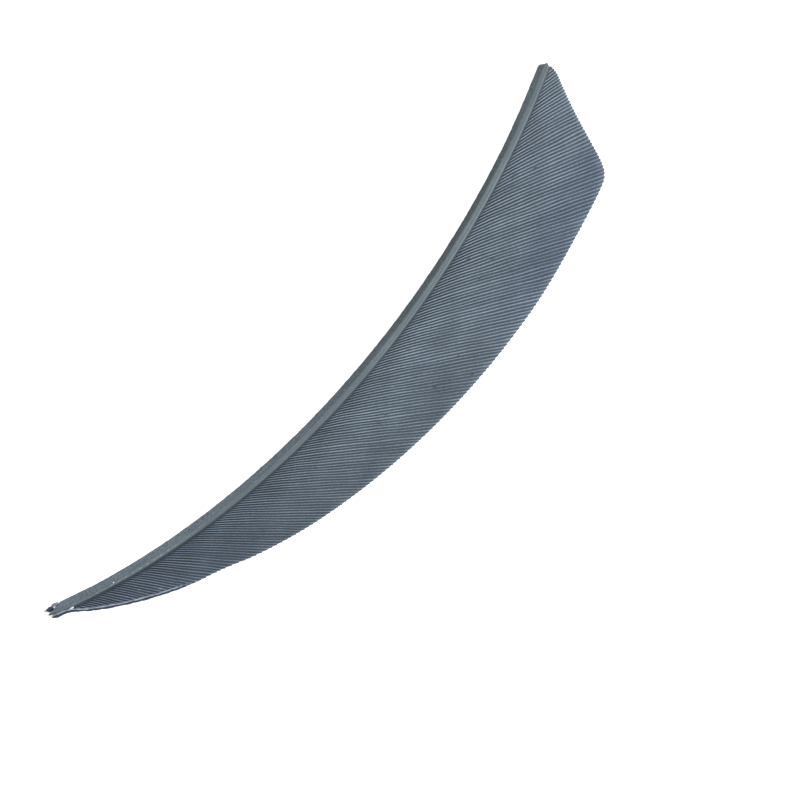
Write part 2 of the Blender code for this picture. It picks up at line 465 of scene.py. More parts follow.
@dataclass
class TubeSet:
    """Closed tubes, each lofted through rings of points, that are joined into one mesh."""

    points: list[Array] = field(default_factory=list)
    marks: dict[str, list[Array]] = field(default_factory=dict)
    faces: list[Array] = field(default_factory=list)
    count: int = 0

    def add(self, rings: Array, **marks: Array) -> None:
        """Add one tube with a flat cap at each end.

        Args:
            rings: Points, as ring, place in the ring, and x, y and z.
            marks: Values for each point that the finish reads by name.
        """
        ring_count, ring_size = rings.shape[:2]
        index = np.arange(ring_count * ring_size).reshape(ring_count, ring_size)
        after = np.roll(index, -1, axis=1)
        sides = np.stack((index[:-1], after[:-1], after[1:], index[1:]), axis=-1).reshape(-1, 4)
        caps = [index[0][::-1], index[-1]]
        flat = rings.reshape(-1, 3)
        if self.points_inwards(flat - flat.mean(axis=0), sides):
            sides = sides[:, ::-1]
            caps = [cap[::-1] for cap in caps]
        self.faces.extend((sides + self.count, *(cap[None] + self.count for cap in caps)))
        self.points.append(flat)
        for name, values in marks.items():
            column = np.broadcast_to(values, (ring_count, ring_size)).ravel()
            self.marks.setdefault(name, []).append(column)
        self.count += len(flat)

    @staticmethod
    def points_inwards(flat: Array, sides: Array) -> bool:
        """Whether the sides face the middle of the tube.

        Args:
            flat: Points around the origin.
            sides: Four-sided faces.

        Returns:
            True if the volume that they enclose is negative.
        """
        a, b, c, d = (flat[sides[:, corner]] for corner in range(4))
        volume = np.einsum("ij,ij->", a, np.cross(b, c)) + np.einsum("ij,ij->", a, np.cross(c, d))
        return bool(volume < 0)

    def build(self, name: str, material: bpy.types.Material, sharp_angle: float) -> bpy.types.Object:
        """Make the mesh object.

        Args:
            name: Name of the piece.
            material: Its finish.
            sharp_angle: Edges that turn more than this stay sharp.

        Returns:
            The object, linked to the scene.
        """
        mesh = bpy.data.meshes.new(name)
        points = np.concatenate(self.points)
        loops = np.concatenate([block.ravel() for block in self.faces])
        sizes = np.concatenate([np.full(len(block), block.shape[1]) for block in self.faces])
        mesh.vertices.add(len(points))
        mesh.vertices.foreach_set("co", points.astype(np.float32).ravel())
        mesh.loops.add(len(loops))
        mesh.loops.foreach_set("vertex_index", loops.astype(np.int32))
        mesh.polygons.add(len(sizes))
        mesh.polygons.foreach_set("loop_start", (np.cumsum(sizes) - sizes).astype(np.int32))
        mesh.update(calc_edges=True)
        for mark, values in self.marks.items():
            layer = mesh.attributes.new(mark, "FLOAT", "POINT")
            layer.data.foreach_set("value", np.concatenate(values).astype(np.float32))
        mesh.materials.append(material)
        mesh.shade_smooth()
        mesh.set_sharp_from_angle(angle=sharp_angle)
        piece = bpy.data.objects.new(name, mesh)
        bpy.context.scene.collection.objects.link(piece)
        return piece


class Graph:
    """Short calls that add shader nodes to one node tree and join them."""

    def __init__(self, tree: bpy.types.NodeTree) -> None:
        """Keep the tree that the nodes go into."""
        self.tree = tree

    def add(self, kind: str, **settings: object) -> bpy.types.Node:
        """Add a node.

        Args:
            kind: Blender's name for it.
            settings: Properties to set on it.

        Returns:
            The node.
        """
        node = self.tree.nodes.new(kind)
        for name, value in settings.items():
            setattr(node, name, value)
        return node

    def feed(self, socket: bpy.types.NodeSocket, source: Source) -> None:
        """Join a socket to another one, or set its value.

        Args:
            socket: The input.
            source: An output, or a plain value.
        """
        if isinstance(source, bpy.types.NodeSocket):
            self.tree.links.new(source, socket)
        else:
            socket.default_value = source

    def math(self, operation: str, *sources: Source) -> bpy.types.NodeSocket:
        """Value of a Math node.

        Args:
            operation: Blender's name for the sum.
            sources: Its one to three inputs.

        Returns:
            The output.
        """
        node = self.add("ShaderNodeMath", operation=operation)
        for socket, source in zip(node.inputs, sources):
            self.feed(socket, source)
        return node.outputs[0]

    def spread(self, value: Source, amount: Source) -> bpy.types.NodeSocket:
        """Factor around 1 from a noise value around a half: 1 + (value - 0.5) * amount."""
        return self.math("MULTIPLY_ADD", self.math("SUBTRACT", value, 0.5), amount, 1.0)

    def mark(self, name: str) -> bpy.types.NodeSocket:
        """Value that the mesh carries under this name."""
        return self.add("ShaderNodeAttribute", attribute_name=name).outputs["Fac"]

    def mix(self, part: Source, first: Source, second: Source) -> bpy.types.NodeSocket:
        """Blend of two colours.

        Args:
            part: Share of the second colour.
            first: The first colour.
            second: The second colour.

        Returns:
            The blend.
        """
        node = self.add("ShaderNodeMix", data_type="RGBA", clamp_factor=True)
        self.feed(node.inputs["Factor"], part)
        for name, source in (("A", first), ("B", second)):
            socket = next(s for s in node.inputs if s.name == name and s.type == "RGBA")
            self.feed(socket, source)
        return next(s for s in node.outputs if s.type == "RGBA")

    def scaled(self, colour: Source, factor: Source) -> bpy.types.NodeSocket:
        """Colour made lighter or darker by a factor.

        Args:
            colour: The colour.
            factor: What it is multiplied by.

        Returns:
            Socket of the result.
        """
        node = self.add("ShaderNodeVectorMath", operation="SCALE")
        self.feed(node.inputs["Vector"], colour)
        self.feed(node.inputs["Scale"], factor)
        return node.outputs["Vector"]

    def vector(self, x: Source, y: Source, z: Source = 0.0) -> bpy.types.NodeSocket:
        """Vector from three values.

        Args:
            x: First value.
            y: Second value.
            z: Third value.

        Returns:
            Socket of the vector.
        """
        node = self.add("ShaderNodeCombineXYZ")
        for socket, source in zip(node.inputs, (x, y, z)):
            self.feed(socket, source)
        return node.outputs["Vector"]

    def noise(self, place: Source, scale: Source, detail: float = 2.0) -> bpy.types.NodeSocket:
        """Noise value around a half.

        Args:
            place: Where to read it.
            scale: How fine it is.
            detail: How many finer layers are added.

        Returns:
            The value.
        """
        node = self.add("ShaderNodeTexNoise")
        self.feed(node.inputs["Vector"], place)
        self.feed(node.inputs["Scale"], scale)
        node.inputs["Detail"].default_value = detail
        return node.outputs["Fac"]

    def place(self) -> bpy.types.NodeSocket:
        """The point on the object, in metres."""
        return self.add("ShaderNodeTexCoord").outputs["Object"]

    def use(self, group: bpy.types.NodeTree, **values: Source) -> bpy.types.NodeSocket:
        """Place a node group and give it its inputs.

        Args:
            group: The group.
            values: Inputs, with an underscore for each space in their names.

        Returns:
            Its first output.
        """
        node = self.add("ShaderNodeGroup", node_tree=group)
        for name, source in values.items():
            self.feed(node.inputs[name.replace("_", " ")], source)
        return node.outputs[0]


@dataclass
class Effects:
    """Node groups that more than one finish uses, each built once."""

    def __post_init__(self) -> None:
        """Build the groups."""
        self.dye_mottle = self.build_dye_mottle()
        self.streaks = self.build_streaks()
        self.grain = self.build_grain()

    @staticmethod
    def group(name: str, inputs: tuple[str, ...], output: str) -> tuple[Graph, dict, bpy.types.NodeSocket]:
        """New group with its sockets.

        Args:
            name: Name of the group.
            inputs: Names of the inputs; one named Vector is a vector and the others are values.
            output: Name of the output value.

        Returns:
            The graph inside it, its inputs by name, and the socket that its result goes to.
        """
        tree = bpy.data.node_groups.new(name, "ShaderNodeTree")
        for label in inputs:
            kind = "NodeSocketVector" if label == "Vector" else "NodeSocketFloat"
            tree.interface.new_socket(name=label, in_out="INPUT", socket_type=kind)
        tree.interface.new_socket(name=output, in_out="OUTPUT", socket_type="NodeSocketFloat")
        graph = Graph(tree)
        entry = graph.add("NodeGroupInput")
        leave = graph.add("NodeGroupOutput")
        return graph, {label: entry.outputs[label] for label in inputs}, leave.inputs[output]

    def build_dye_mottle(self) -> bpy.types.NodeTree:
        """Uneven take-up of the dye: broad clouds and a finer mottle, as a factor around 1.

        Returns:
            The group's tree.
        """
        names = ("Vector", "Broad Scale", "Broad Amount", "Fine Scale", "Fine Amount")
        graph, given, result = self.group("dye mottle", names, "Shade")
        broad = graph.noise(given["Vector"], given["Broad Scale"])
        fine = graph.noise(given["Vector"], given["Fine Scale"])
        clouds = graph.spread(broad, given["Broad Amount"])
        graph.feed(result, graph.math("MULTIPLY", clouds, graph.spread(fine, given["Fine Amount"])))
        return graph.tree

    def build_streaks(self) -> bpy.types.NodeTree:
        """Streaks that follow the growth of the horn or the barb, as a factor around 1.

        Returns:
            The group's tree.
        """
        names = ("Length", "Side", "Length Scale", "Side Scale", "Amount")
        graph, given, result = self.group("growth streaks", names, "Shade")
        lengthwise = graph.math("MULTIPLY", given["Length"], given["Length Scale"])
        sideways = graph.math("MULTIPLY", given["Side"], given["Side Scale"])
        value = graph.noise(graph.vector(lengthwise, sideways), 1.0, 3.0)
        graph.feed(result, graph.spread(value, given["Amount"]))
        return graph.tree

    def build_grain(self) -> bpy.types.NodeTree:
        """Fine unevenness of a surface, as a height in metres.

        Returns:
            The group's tree.
        """
        names = ("Vector", "Scale", "Depth")
        graph, given, result = self.group("surface grain", names, "Height")
        value = graph.noise(given["Vector"], given["Scale"], 4.0)
        graph.feed(result, graph.math("MULTIPLY", value, given["Depth"]))
        return graph.tree


def new_material(name: str) -> tuple[bpy.types.Material, Graph, bpy.types.Node]:
    """Empty material.

    Args:
        name: Its name.

    Returns:
        The material, the graph of its nodes and its Principled shader.
    """
    material = bpy.data.materials.new(name)
    material.use_nodes = True
    return material, Graph(material.node_tree), material.node_tree.nodes["Principled BSDF"]


def add_bump(graph: Graph, shader: bpy.types.Node, height: bpy.types.NodeSocket) -> None:
    """Let a height in metres turn the shader's normal.

    Args:
        graph: The material's graph.
        shader: Its Principled shader.
        height: The height.
    """
    bump = graph.add("ShaderNodeBump")
    bump.inputs["Distance"].default_value = 1.0
    graph.feed(bump.inputs["Height"], height)
    graph.feed(shader.inputs["Normal"], bump.outputs["Normal"])


@dataclass(frozen=True)
class QuillFinish:
    """Dyed horn of the shaft: speckled pith on the ground face, a burr with a painted highlight along the
    ridge, and a streaked lip with painted shade on the narrow end's far side and underneath.
    """

    effects: Effects
    pith: Colour = (0.150, 0.188, 0.220)
    pore: Colour = (0.074, 0.098, 0.117)
    # Painted highlight along the burr on the ridge.
    burr_painted_highlight: Colour = (0.128, 0.160, 0.173)
    speck: Colour = (0.340, 0.390, 0.400)
    lip: Colour = (0.074, 0.096, 0.107)
    shade: Colour = (0.036, 0.047, 0.055)
    roughness: float = 0.45
    ground_roughness: float = 0.25
    shine: float = 0.25
    pore_scale: float = 4200.0
    pore_size: float = 0.26
    pore_darkness: float = 0.45
    pore_depth: float = 0.000012
    mottle: float = 0.5
    ground_mottle: float = 1.2

    def material(self) -> bpy.types.Material:
        """Build the material.

        Returns:
            The finish, ready for its pieces.
        """
        material, graph, shader = new_material("dyed quill horn")
        place = graph.place()
        pores = graph.add("ShaderNodeTexVoronoi", feature="F1")
        graph.feed(pores.inputs["Vector"], place)
        graph.feed(pores.inputs["Scale"], self.pore_scale)
        open_pore = graph.math("LESS_THAN", pores.outputs["Distance"], self.pore_size)
        on_ground = graph.mark("ground")
        pitted = graph.math("MULTIPLY", open_pore, on_ground)
        colour = graph.mix(on_ground, (*self.lip, 1.0), (*self.pith, 1.0))
        colour = graph.mix(graph.math("MULTIPLY", pitted, self.pore_darkness), colour, (*self.pore, 1.0))
        colour = graph.mix(graph.mark("burr_painted_highlight"), colour, (*self.burr_painted_highlight, 1.0))
        colour = graph.mix(graph.mark("shade"), colour, (*self.shade, 1.0))
        colour = graph.mix(graph.mark("speck"), colour, (*self.speck, 1.0))
        fine_mottle = graph.math("MULTIPLY_ADD", on_ground, self.ground_mottle, self.mottle)
        mottle = graph.use(self.effects.dye_mottle, Vector=place, Broad_Scale=160.0, Broad_Amount=0.30,
                           Fine_Scale=3000.0, Fine_Amount=fine_mottle)
        streak = graph.use(self.effects.streaks, Length=graph.mark("length"), Side=graph.mark("side"),
                           Length_Scale=160.0, Side_Scale=4.5, Amount=0.70)
        tone = graph.math("MULTIPLY", graph.math("MULTIPLY", mottle, streak), graph.mark("tone"))
        graph.feed(shader.inputs["Base Color"], graph.scaled(colour, tone))
        rough = graph.math("MULTIPLY_ADD", on_ground, self.ground_roughness, self.roughness)
        graph.feed(shader.inputs["Roughness"], rough)
        shader.inputs["Specular IOR Level"].default_value = self.shine
        grain = graph.use(self.effects.grain, Vector=place, Scale=9000.0, Depth=0.000025)
        add_bump(graph, shader, graph.math("MULTIPLY_ADD", pitted, -self.pore_depth, grain))
        return material


@dataclass(frozen=True)
class WebFinish:
    """Interlocked barbules between two barbs: dull grey-blue, with painted light on their crests and painted
    shade where they dip to a barb.
    """

    effects: Effects
    painted_groove_shade_and_spot: Colour = (0.023, 0.033, 0.047)
    crest: Colour = (0.150, 0.186, 0.216)
    cool_crest: Colour = (0.143, 0.184, 0.240)
    speck: Colour = (0.400, 0.450, 0.480)
    roughness: float = 0.55
    shine: float = 0.35
    barbule_pitch: float = 0.000042
    barbule_slant: float = 0.00021
    barbule_depth: float = 0.000009

    def material(self) -> bpy.types.Material:
        """Build the material.

        Returns:
            The finish, ready for its pieces.
        """
        material, graph, shader = new_material("barbule web")
        place = graph.place()
        length = graph.mark("length")
        side = graph.mark("side")
        # The arch mark paints each web lighter on its crest and darker in the grooves at its barbs: painted
        # light and painted shade. Dark gaps and dots take the grooves' colour.
        crest = graph.mix(graph.mark("cool"), (*self.crest, 1.0), (*self.cool_crest, 1.0))
        colour = graph.mix(graph.mark("arch"), (*self.painted_groove_shade_and_spot, 1.0), crest)
        colour = graph.mix(graph.mark("dark"), colour, (*self.painted_groove_shade_and_spot, 1.0))
        colour = graph.mix(graph.mark("pale"), colour, (*self.speck, 1.0))
        mottle = graph.use(self.effects.dye_mottle, Vector=place, Broad_Scale=220.0, Broad_Amount=0.22,
                           Fine_Scale=2800.0, Fine_Amount=0.90)
        streak = graph.use(self.effects.streaks, Length=length, Side=side,
                           Length_Scale=260.0, Side_Scale=0.55, Amount=0.24)
        tone = graph.math("MULTIPLY", graph.math("MULTIPLY", mottle, streak), graph.mark("tone"))
        graph.feed(shader.inputs["Base Color"], graph.scaled(colour, tone))
        shader.inputs["Roughness"].default_value = self.roughness
        shader.inputs["Specular IOR Level"].default_value = self.shine
        slanted = graph.math("MULTIPLY_ADD", side, self.barbule_slant, length)
        rows = graph.math("SINE", graph.math("MULTIPLY", slanted, 2 * math.pi / self.barbule_pitch))
        grain = graph.use(self.effects.grain, Vector=place, Scale=8000.0, Depth=0.000020)
        add_bump(graph, shader, graph.math("MULTIPLY_ADD", rows, self.barbule_depth / 2, grain))
        return material


@dataclass(frozen=True)
class BarbFinish:
    """Dyed horn of the barbs: almost black blue, and a little glossy; the near black is partly their dye and
    partly painted shade of the grooves they lie in.
    """

    effects: Effects
    # Near black: partly the barbs' dye, partly painted shade of the grooves between the webs.
    colour: Colour = (0.0255, 0.0355, 0.0495)
    roughness: float = 0.50
    shine: float = 0.20

    def material(self) -> bpy.types.Material:
        """Build the material.

        Returns:
            The finish, ready for its pieces.
        """
        material, graph, shader = new_material("barb horn")
        place = graph.place()
        streak = graph.use(self.effects.streaks, Length=graph.mark("length"), Side=graph.mark("side"),
                           Length_Scale=420.0, Side_Scale=0.8, Amount=0.80)
        mottle = graph.use(self.effects.dye_mottle, Vector=place, Broad_Scale=240.0, Broad_Amount=0.5,
                           Fine_Scale=3000.0, Fine_Amount=0.4)
        tone = graph.math("MULTIPLY", graph.math("MULTIPLY", streak, mottle), graph.mark("tone"))
        graph.feed(shader.inputs["Base Color"], graph.scaled(self.colour, tone))
        shader.inputs["Roughness"].default_value = self.roughness
        shader.inputs["Specular IOR Level"].default_value = self.shine
        add_bump(graph, shader, graph.use(self.effects.grain, Vector=place, Scale=7000.0, Depth=0.000010))
        return material


@dataclass(frozen=True)
class RimFinish:
    """Rolled barb ends and torn pith: dark at a pale mark of 0, pale at 1 and bare of dye at 2. On the rolled
    barb ends the pale is painted light on the tops of the rolls and the dark is painted shade on their outer
    sides and over the outer roll.
    """

    effects: Effects
    # Pale of the rolls' tops, which is painted light, and of the pale bits of torn pith.
    crown: Colour = (0.290, 0.340, 0.410)
    # Dark of the torn pith's crumb and fibres, and painted shade on the rolls.
    dark_and_painted_shade: Colour = (0.026, 0.035, 0.054)
    bare: Colour = (0.720, 0.740, 0.720)
    roughness: float = 0.60
    shine: float = 0.20

    def material(self) -> bpy.types.Material:
        """Build the material.

        Returns:
            The finish, ready for its pieces.
        """
        material, graph, shader = new_material("rolled barb ends")
        place = graph.place()
        pale = graph.mark("pale")
        colour = graph.mix(pale, (*self.dark_and_painted_shade, 1.0), (*self.crown, 1.0))
        colour = graph.mix(graph.math("SUBTRACT", pale, 1.0), colour, (*self.bare, 1.0))
        mottle = graph.use(self.effects.dye_mottle, Vector=place, Broad_Scale=900.0, Broad_Amount=0.5,
                           Fine_Scale=3500.0, Fine_Amount=0.6)
        graph.feed(shader.inputs["Base Color"], graph.scaled(colour, mottle))
        shader.inputs["Roughness"].default_value = self.roughness
        shader.inputs["Specular IOR Level"].default_value = self.shine
        add_bump(graph, shader, graph.use(self.effects.grain, Vector=place, Scale=6000.0, Depth=0.000030))
        return material


@dataclass(frozen=True)
class ShaftTone:
    """Lighter and darker places of the shaft.

    "around" counts the corners of the section from its foot over its ridge, and "part" is 0 at the narrow end
    and 1 at the wide end. A patch lies along in parts, and across in places around.
    """

    wide_end: Step = Step(0.82, 0.95)
    ground_level: float = 0.73
    ground_drop: float = 0.40
    ground_drop_run: Step = Step(0.15, 0.75)
    ground_end_rise: float = 0.14
    lip_level: float = 1.06
    lip_end_drop: float = 0.26
    # Painted light: a lighter band over the lip's rounding, strongest in the wide half.
    lip_painted_light_band: Plateau = Plateau(2.05, 2.45, 3.1, 4.0)
    lip_painted_light_rise: float = 0.32
    lip_painted_light_run: Step = Step(0.30, 0.75)
    # Painted shadow line, painted highlight line, and painted shade on the lip's far side.
    lip_painted_light_and_shade_lines: tuple[Patch, ...] = (
        Patch(-0.40, Step(0.30, 0.75), Bump(2.68, 0.10)),
        Patch(0.12, Step(0.30, 0.75), Bump(2.25, 0.14)),
        Patch(-0.22, across=Step(2.8, 3.4)),
    )
    on_lip: Plateau = Plateau(1.9, 2.3, 4.6, 5.2)
    shaded_side: Step = Step(2.5, 3.8)
    shaded_run: Step = Step(0.55, 0.18)
    shaded_level: float = 0.40
    shaded_end_rise: float = 0.45
    shaded_end: Step = Step(0.12, 0.03)
    underside: Step = Step(4.1, 4.9)
    underside_shade: float = 0.8
    burr_trough: float = 0.45
    burr_level: float = 0.8
    burr_drop: float = 0.4
    burr_drop_run: Step = Step(0.1, 0.35)
    speck_rarity: float = 0.970
    speck_place: Bump = Bump(1.7, 0.5)
    speck_drop: Patch = Patch(-0.5, Step(0.2, 0.45))
    speck_strength: tuple[float, float] = (0.3, 1.0)
    # Painted highlight: a dotted pale line along the lip's edge at the narrow end.
    dot_wave: Wave = Wave(9, (0.00047, 0.00071, 0.0014))
    dot_crest: Step = Step(-0.4, 0.9)
    dot_place: Bump = Bump(2.40, 0.22)
    dot_run: Plateau = Plateau(0.02, 0.05, 0.13, 0.22)
    dot_highlight_strength: float = 0.60

    def ground(self, part: Array) -> Array:
        """Tone of the ground face."""
        drop = self.ground_drop * self.ground_drop_run.at(part)
        return self.ground_level - drop + self.ground_end_rise * self.wide_end.at(part)

    def lip(self, part: Array, around: Array) -> Array:
        """Tone of the lip and the wall below it, with a band of painted light on its rounding, and in its
        wide half a fine painted shadow line and a fine painted highlight line; its far side is painted darker
        as shade.

        Args:
            part: Parts of the length.
            around: Places around.

        Returns:
            The tone, as a factor.
        """
        band = self.lip_painted_light_rise * self.lip_painted_light_band.at(around) * self.lip_painted_light_run.at(part)
        value = self.lip_level + band - self.lip_end_drop * self.wide_end.at(part)
        for line in self.lip_painted_light_and_shade_lines:
            value = value * line.factor(part, around)
        return value

    def shade(self, part: Array, around: Array) -> Array:
        """Share of the dark shade: on the narrow end's lip and on the underside.

        Args:
            part: Parts of the length.
            around: Places around.

        Returns:
            The share, from 0 to 1.
        """
        level = self.shaded_level + self.shaded_end_rise * self.shaded_end.at(part)
        below = self.shaded_side.at(around) * self.shaded_run.at(part) * level
        under = self.underside_shade * self.underside.at(around)
        return np.clip(np.maximum(below * self.on_lip.at(around), under), 0.0, 1.0)

    def burr_painted_highlight(self, part: Array, wave: Array) -> Array:
        """Share of the burr's painted highlight, fainter in the burr's gaps and away from the narrow end."""
        level = self.burr_level - self.burr_drop * self.burr_drop_run.at(part)
        return (self.burr_trough + (1 - self.burr_trough) * wave) * level

    def specks(self, generator: np.random.Generator, station: Array, part: Array, around: Array) -> Array:
        """Share of the pale specks: scattered ones at the ridge, and a dotted line of painted highlight on
        the narrow end's lip.

        Args:
            generator: Picks the scattered ones.
            station: Distances along the shaft.
            part: The same as parts of its length.
            around: Places in the section.

        Returns:
            The share, as station by place in the section.
        """
        shape = np.broadcast(station, around).shape
        scattered = (generator.uniform(size=shape) > self.speck_rarity) * self.speck_place.at(around)
        scattered = scattered * self.speck_drop.factor(part, around)
        scattered = scattered * generator.uniform(*self.speck_strength, shape)
        highlight_dots = self.dot_crest.at(self.dot_wave.at(station)) * self.dot_place.at(around)
        return np.maximum(scattered, self.dot_highlight_strength * highlight_dots * self.dot_run.at(part))


@dataclass
class GroundShaft:
    """The split and ground half shaft, with pores, a burr, a rounded lip and its two cut ends."""

    line: ShaftLine
    finish: QuillFinish
    tones: ShaftTone = ShaftTone()
    seed: int = 11
    ground_reach: tuple[float, float, float] = (0.00138, 0.00112, 0.00081)
    ridge_height: tuple[float, float, float] = (0.00110, 0.00135, 0.00125)
    lip_rise: tuple[float, float, float] = (0.00008, 0.00002, -0.00010)
    lip_rounding: float = 0.00018
    lip_crown: float = 0.00006
    lip_overhang: float = 0.00006
    inner_wall_depth: float = 0.00080
    foot_width: float = 0.00018
    hollow: float = 0.00004
    section_steps: tuple[int, ...] = (14, 4, 9, 4, 5, 3, 3, 2)
    station_step: float = 0.00022
    ground: Plateau = Plateau(0.0, 0.06, 0.86, 1.15)
    pore_relief: float = 0.000012
    edge_wobble: float = 0.000035
    edge_wave: Wave = Wave(5, (0.0011, 0.0019, 0.0034, 0.0075))
    edge_inset: float = 0.00008
    edge_inset_run: Plateau = Plateau(0.0, 0.07, 0.87, 0.96)
    edge_fade: Step = Step(0.9, 0.0)
    burr_place: Bump = Bump(1.75, 0.45)
    burr_relief: float = 0.00003
    burr_wave: Wave = Wave(8, (0.0006, 0.0010, 0.0023))
    burr_drop: Patch = Patch(-0.75, Step(0.35, 0.70))
    narrow_slant: float = 2.8
    narrow_square: float = 0.00022
    narrow_slant_fade: float = 0.0060
    narrow_end_scale: float = 0.67
    narrow_taper: float = 0.0030
    torn_depth: float = 0.00010
    torn_wave: Wave = Wave(21, (0.0005, 0.0009, 0.0002))
    torn_run: Step = Step(0.0012, 0.0)
    wide_rounding: float = 0.0008
    wide_cut: float = 0.0012
    wide_tooth: float = 0.00030
    wide_tooth_place: Bump = Bump(0.00127, 0.00016)
    wide_slope: float = 0.00012
    wide_slope_run: Step = Step(0.0002, 0.0011)
    wide_corner: float = 0.00022
    wide_corner_run: Step = Step(0.0015, 0.0019)
    sharp_angle: float = math.radians(50)

    def keys(self, along: Array) -> list[tuple[Array, Array]]:
        """The section's eight corners as (across, height), counted from its foot over its ridge.

        Args:
            along: Distances along the shaft.

        Returns:
            The corners, each at every distance.
        """
        part = along / self.line.length
        reach = three_point(self.ground_reach, part)
        width = three_point(self.line.width, part) + self.lip_overhang
        height = three_point(self.ridge_height, part)
        half = self.lip_rounding / 2
        wall_foot = height - self.inner_wall_depth
        zero = np.zeros_like(along)
        return [
            (zero, zero + self.foot_width / 3),
            (reach - half, height - half),
            (reach + half, height),
            (width - self.lip_rounding, height + three_point(self.lip_rise, part)),
            (width, height - self.lip_rounding),
            (width - 2 * self.lip_overhang, wall_foot),
            (width / 2, wall_foot / 3),
            (zero + self.foot_width, zero),
        ]

    def section(self, along: Array) -> tuple[Array, Array, Array]:
        """Smooth sections, with a hollow in the ground face and a crown on the lip.

        Args:
            along: Distances along the shaft.

        Returns:
            Distances across and heights, as station by place in the section, and the places.
        """
        corners = self.keys(along)
        bulges = {0: -self.hollow, 2: self.lip_crown}
        across, height, around = [], [], []
        for number, count in enumerate(self.section_steps):
            start, end = corners[number], corners[(number + 1) % len(corners)]
            for step in range(count):
                part = step / count
                bulge = bulges.get(number, 0.0) * math.sin(math.pi * part)
                across.append(start[0] + (end[0] - start[0]) * part)
                height.append(start[1] + (end[1] - start[1]) * part + bulge)
                around.append(number + part)
        return np.stack(across, axis=-1), np.stack(height, axis=-1), np.array(around)[None]

    def rings(self, along: Array) -> tuple[Array, Array, dict[str, Array]]:
        """Sections with all their relief.

        Args:
            along: Distances along the shaft.

        Returns:
            Distances across, heights, and the marks for the finish, each as station by place around.
        """
        across, height, around = self.section(along)
        station = along[:, None]
        part = station / self.line.length
        on_ground = self.ground.at(around)
        generator = np.random.default_rng(self.seed)
        height += self.pore_relief * generator.normal(0.0, 1.0, across.shape) * on_ground
        inset = self.edge_inset * self.edge_inset_run.at(part) + self.edge_wobble * self.edge_wave.at(station)
        across += inset * self.edge_fade.at(around) * (around < 1)
        # The burr: a slight real relief, and a painted highlight in the finish.
        burr_painted_highlight = self.burr_place.at(around) * self.burr_drop.factor(part, around)
        burr_wave = (1 + self.burr_wave.at(station)) / 2
        height += self.burr_relief * burr_painted_highlight * burr_wave
        marks = {
            "ground": on_ground * np.ones_like(part),
            "burr_painted_highlight": burr_painted_highlight * self.tones.burr_painted_highlight(part, burr_wave),
            "speck": self.tones.specks(generator, station, part, around),
            "shade": self.tones.shade(part, around),
            "tone": np.where(on_ground > 0.5, self.tones.ground(part), self.tones.lip(part, around)),
            "length": station * np.ones_like(around),
            "side": around * np.ones_like(station),
        }
        return across, height, marks

    def ends(self, along: Array, across: Array, height: Array) -> tuple[Array, Array, Array]:
        """Shape the slanted, torn narrow end and the rounded wide end.

        Args:
            along: Stations.
            across: Distances across of the sections.
            height: Heights of the sections.

        Returns:
            Distances along, distances across and heights.
        """
        station = along[:, None]
        width = self.line.shaft_width(station)
        run = np.minimum(1.0, station / self.narrow_taper) ** 0.5
        taper = self.narrow_end_scale + (1 - self.narrow_end_scale) * run
        short = np.clip(self.wide_rounding - (self.line.length - station), 0.0, self.wide_rounding)
        retreat = self.wide_rounding - np.sqrt(self.wide_rounding ** 2 - short ** 2)
        squeeze = (width - retreat) / width
        across = (width - (width - across) * squeeze) * taper
        height = height * taper
        fade = np.clip(1 - station / self.narrow_slant_fade, 0.0, 1.0) ** 2
        placed = station - self.narrow_slant * np.maximum(across - self.narrow_square, 0.0) * fade
        cut = self.wide_tooth * self.wide_tooth_place.at(across)
        cut = cut - self.wide_corner * self.wide_corner_run.at(across)
        cut = cut + self.wide_slope * self.wide_slope_run.at(across)
        placed = placed + smooth_step(station, self.line.length - self.wide_cut, self.line.length) * cut
        placed = placed + self.torn_depth * self.torn_wave.at(across) * self.torn_run.at(station)
        return placed, across, height

    def build(self) -> bpy.types.Object:
        """Build the piece.

        Returns:
            The piece in the scene.
        """
        count = round(self.line.length / self.station_step)
        along = np.linspace(0.0, self.line.length, count + 1)
        across, height, marks = self.rings(along)
        placed, across, height = self.ends(along, across, height)
        tubes = TubeSet()
        tubes.add(self.line.place(placed, across, np.maximum(height, 0.0)), **marks)
        return tubes.build("half_shaft", self.finish.material(), self.sharp_angle)


@dataclass(frozen=True)
class VaneMark:
    """A small flaw in the vane, at its place along and across, in millimetres."""

    kind: MarkKind
    along: float
    across: float
    length: float
    width: float


VANE_MARKS = (
    VaneMark(MarkKind.GAP, 110.6, 6.6, 0.40, 0.22),
    VaneMark(MarkKind.GAP, 107.9, 4.0, 0.42, 0.26),
    VaneMark(MarkKind.DOT, 93.9, 11.5, 0.30, 0.15),
    VaneMark(MarkKind.DOT, 94.1, 7.8, 0.25, 0.15),
    VaneMark(MarkKind.DOT, 91.9, 4.3, 0.28, 0.16),
    VaneMark(MarkKind.DOT, 86.3, 4.9, 0.30, 0.18),
    VaneMark(MarkKind.DOT, 90.2, 7.8, 0.26, 0.14),
    VaneMark(MarkKind.DOT, 77.7, 12.4, 0.34, 0.16),
    VaneMark(MarkKind.DOT, 71.5, 12.4, 0.32, 0.18),
    VaneMark(MarkKind.DOT, 73.5, 4.8, 0.34, 0.16),
    VaneMark(MarkKind.DOT, 63.1, 9.1, 0.30, 0.18),
    VaneMark(MarkKind.DOT, 76.9, 16.2, 0.36, 0.18),
    VaneMark(MarkKind.FLECK, 67.1, 6.7, 0.26, 0.14),
    VaneMark(MarkKind.FLECK, 75.7, 8.6, 0.26, 0.12),
    VaneMark(MarkKind.FLECK, 15.8, 6.4, 0.45, 0.14),
    VaneMark(MarkKind.FLECK, 12.7, 4.6, 0.36, 0.12),
)


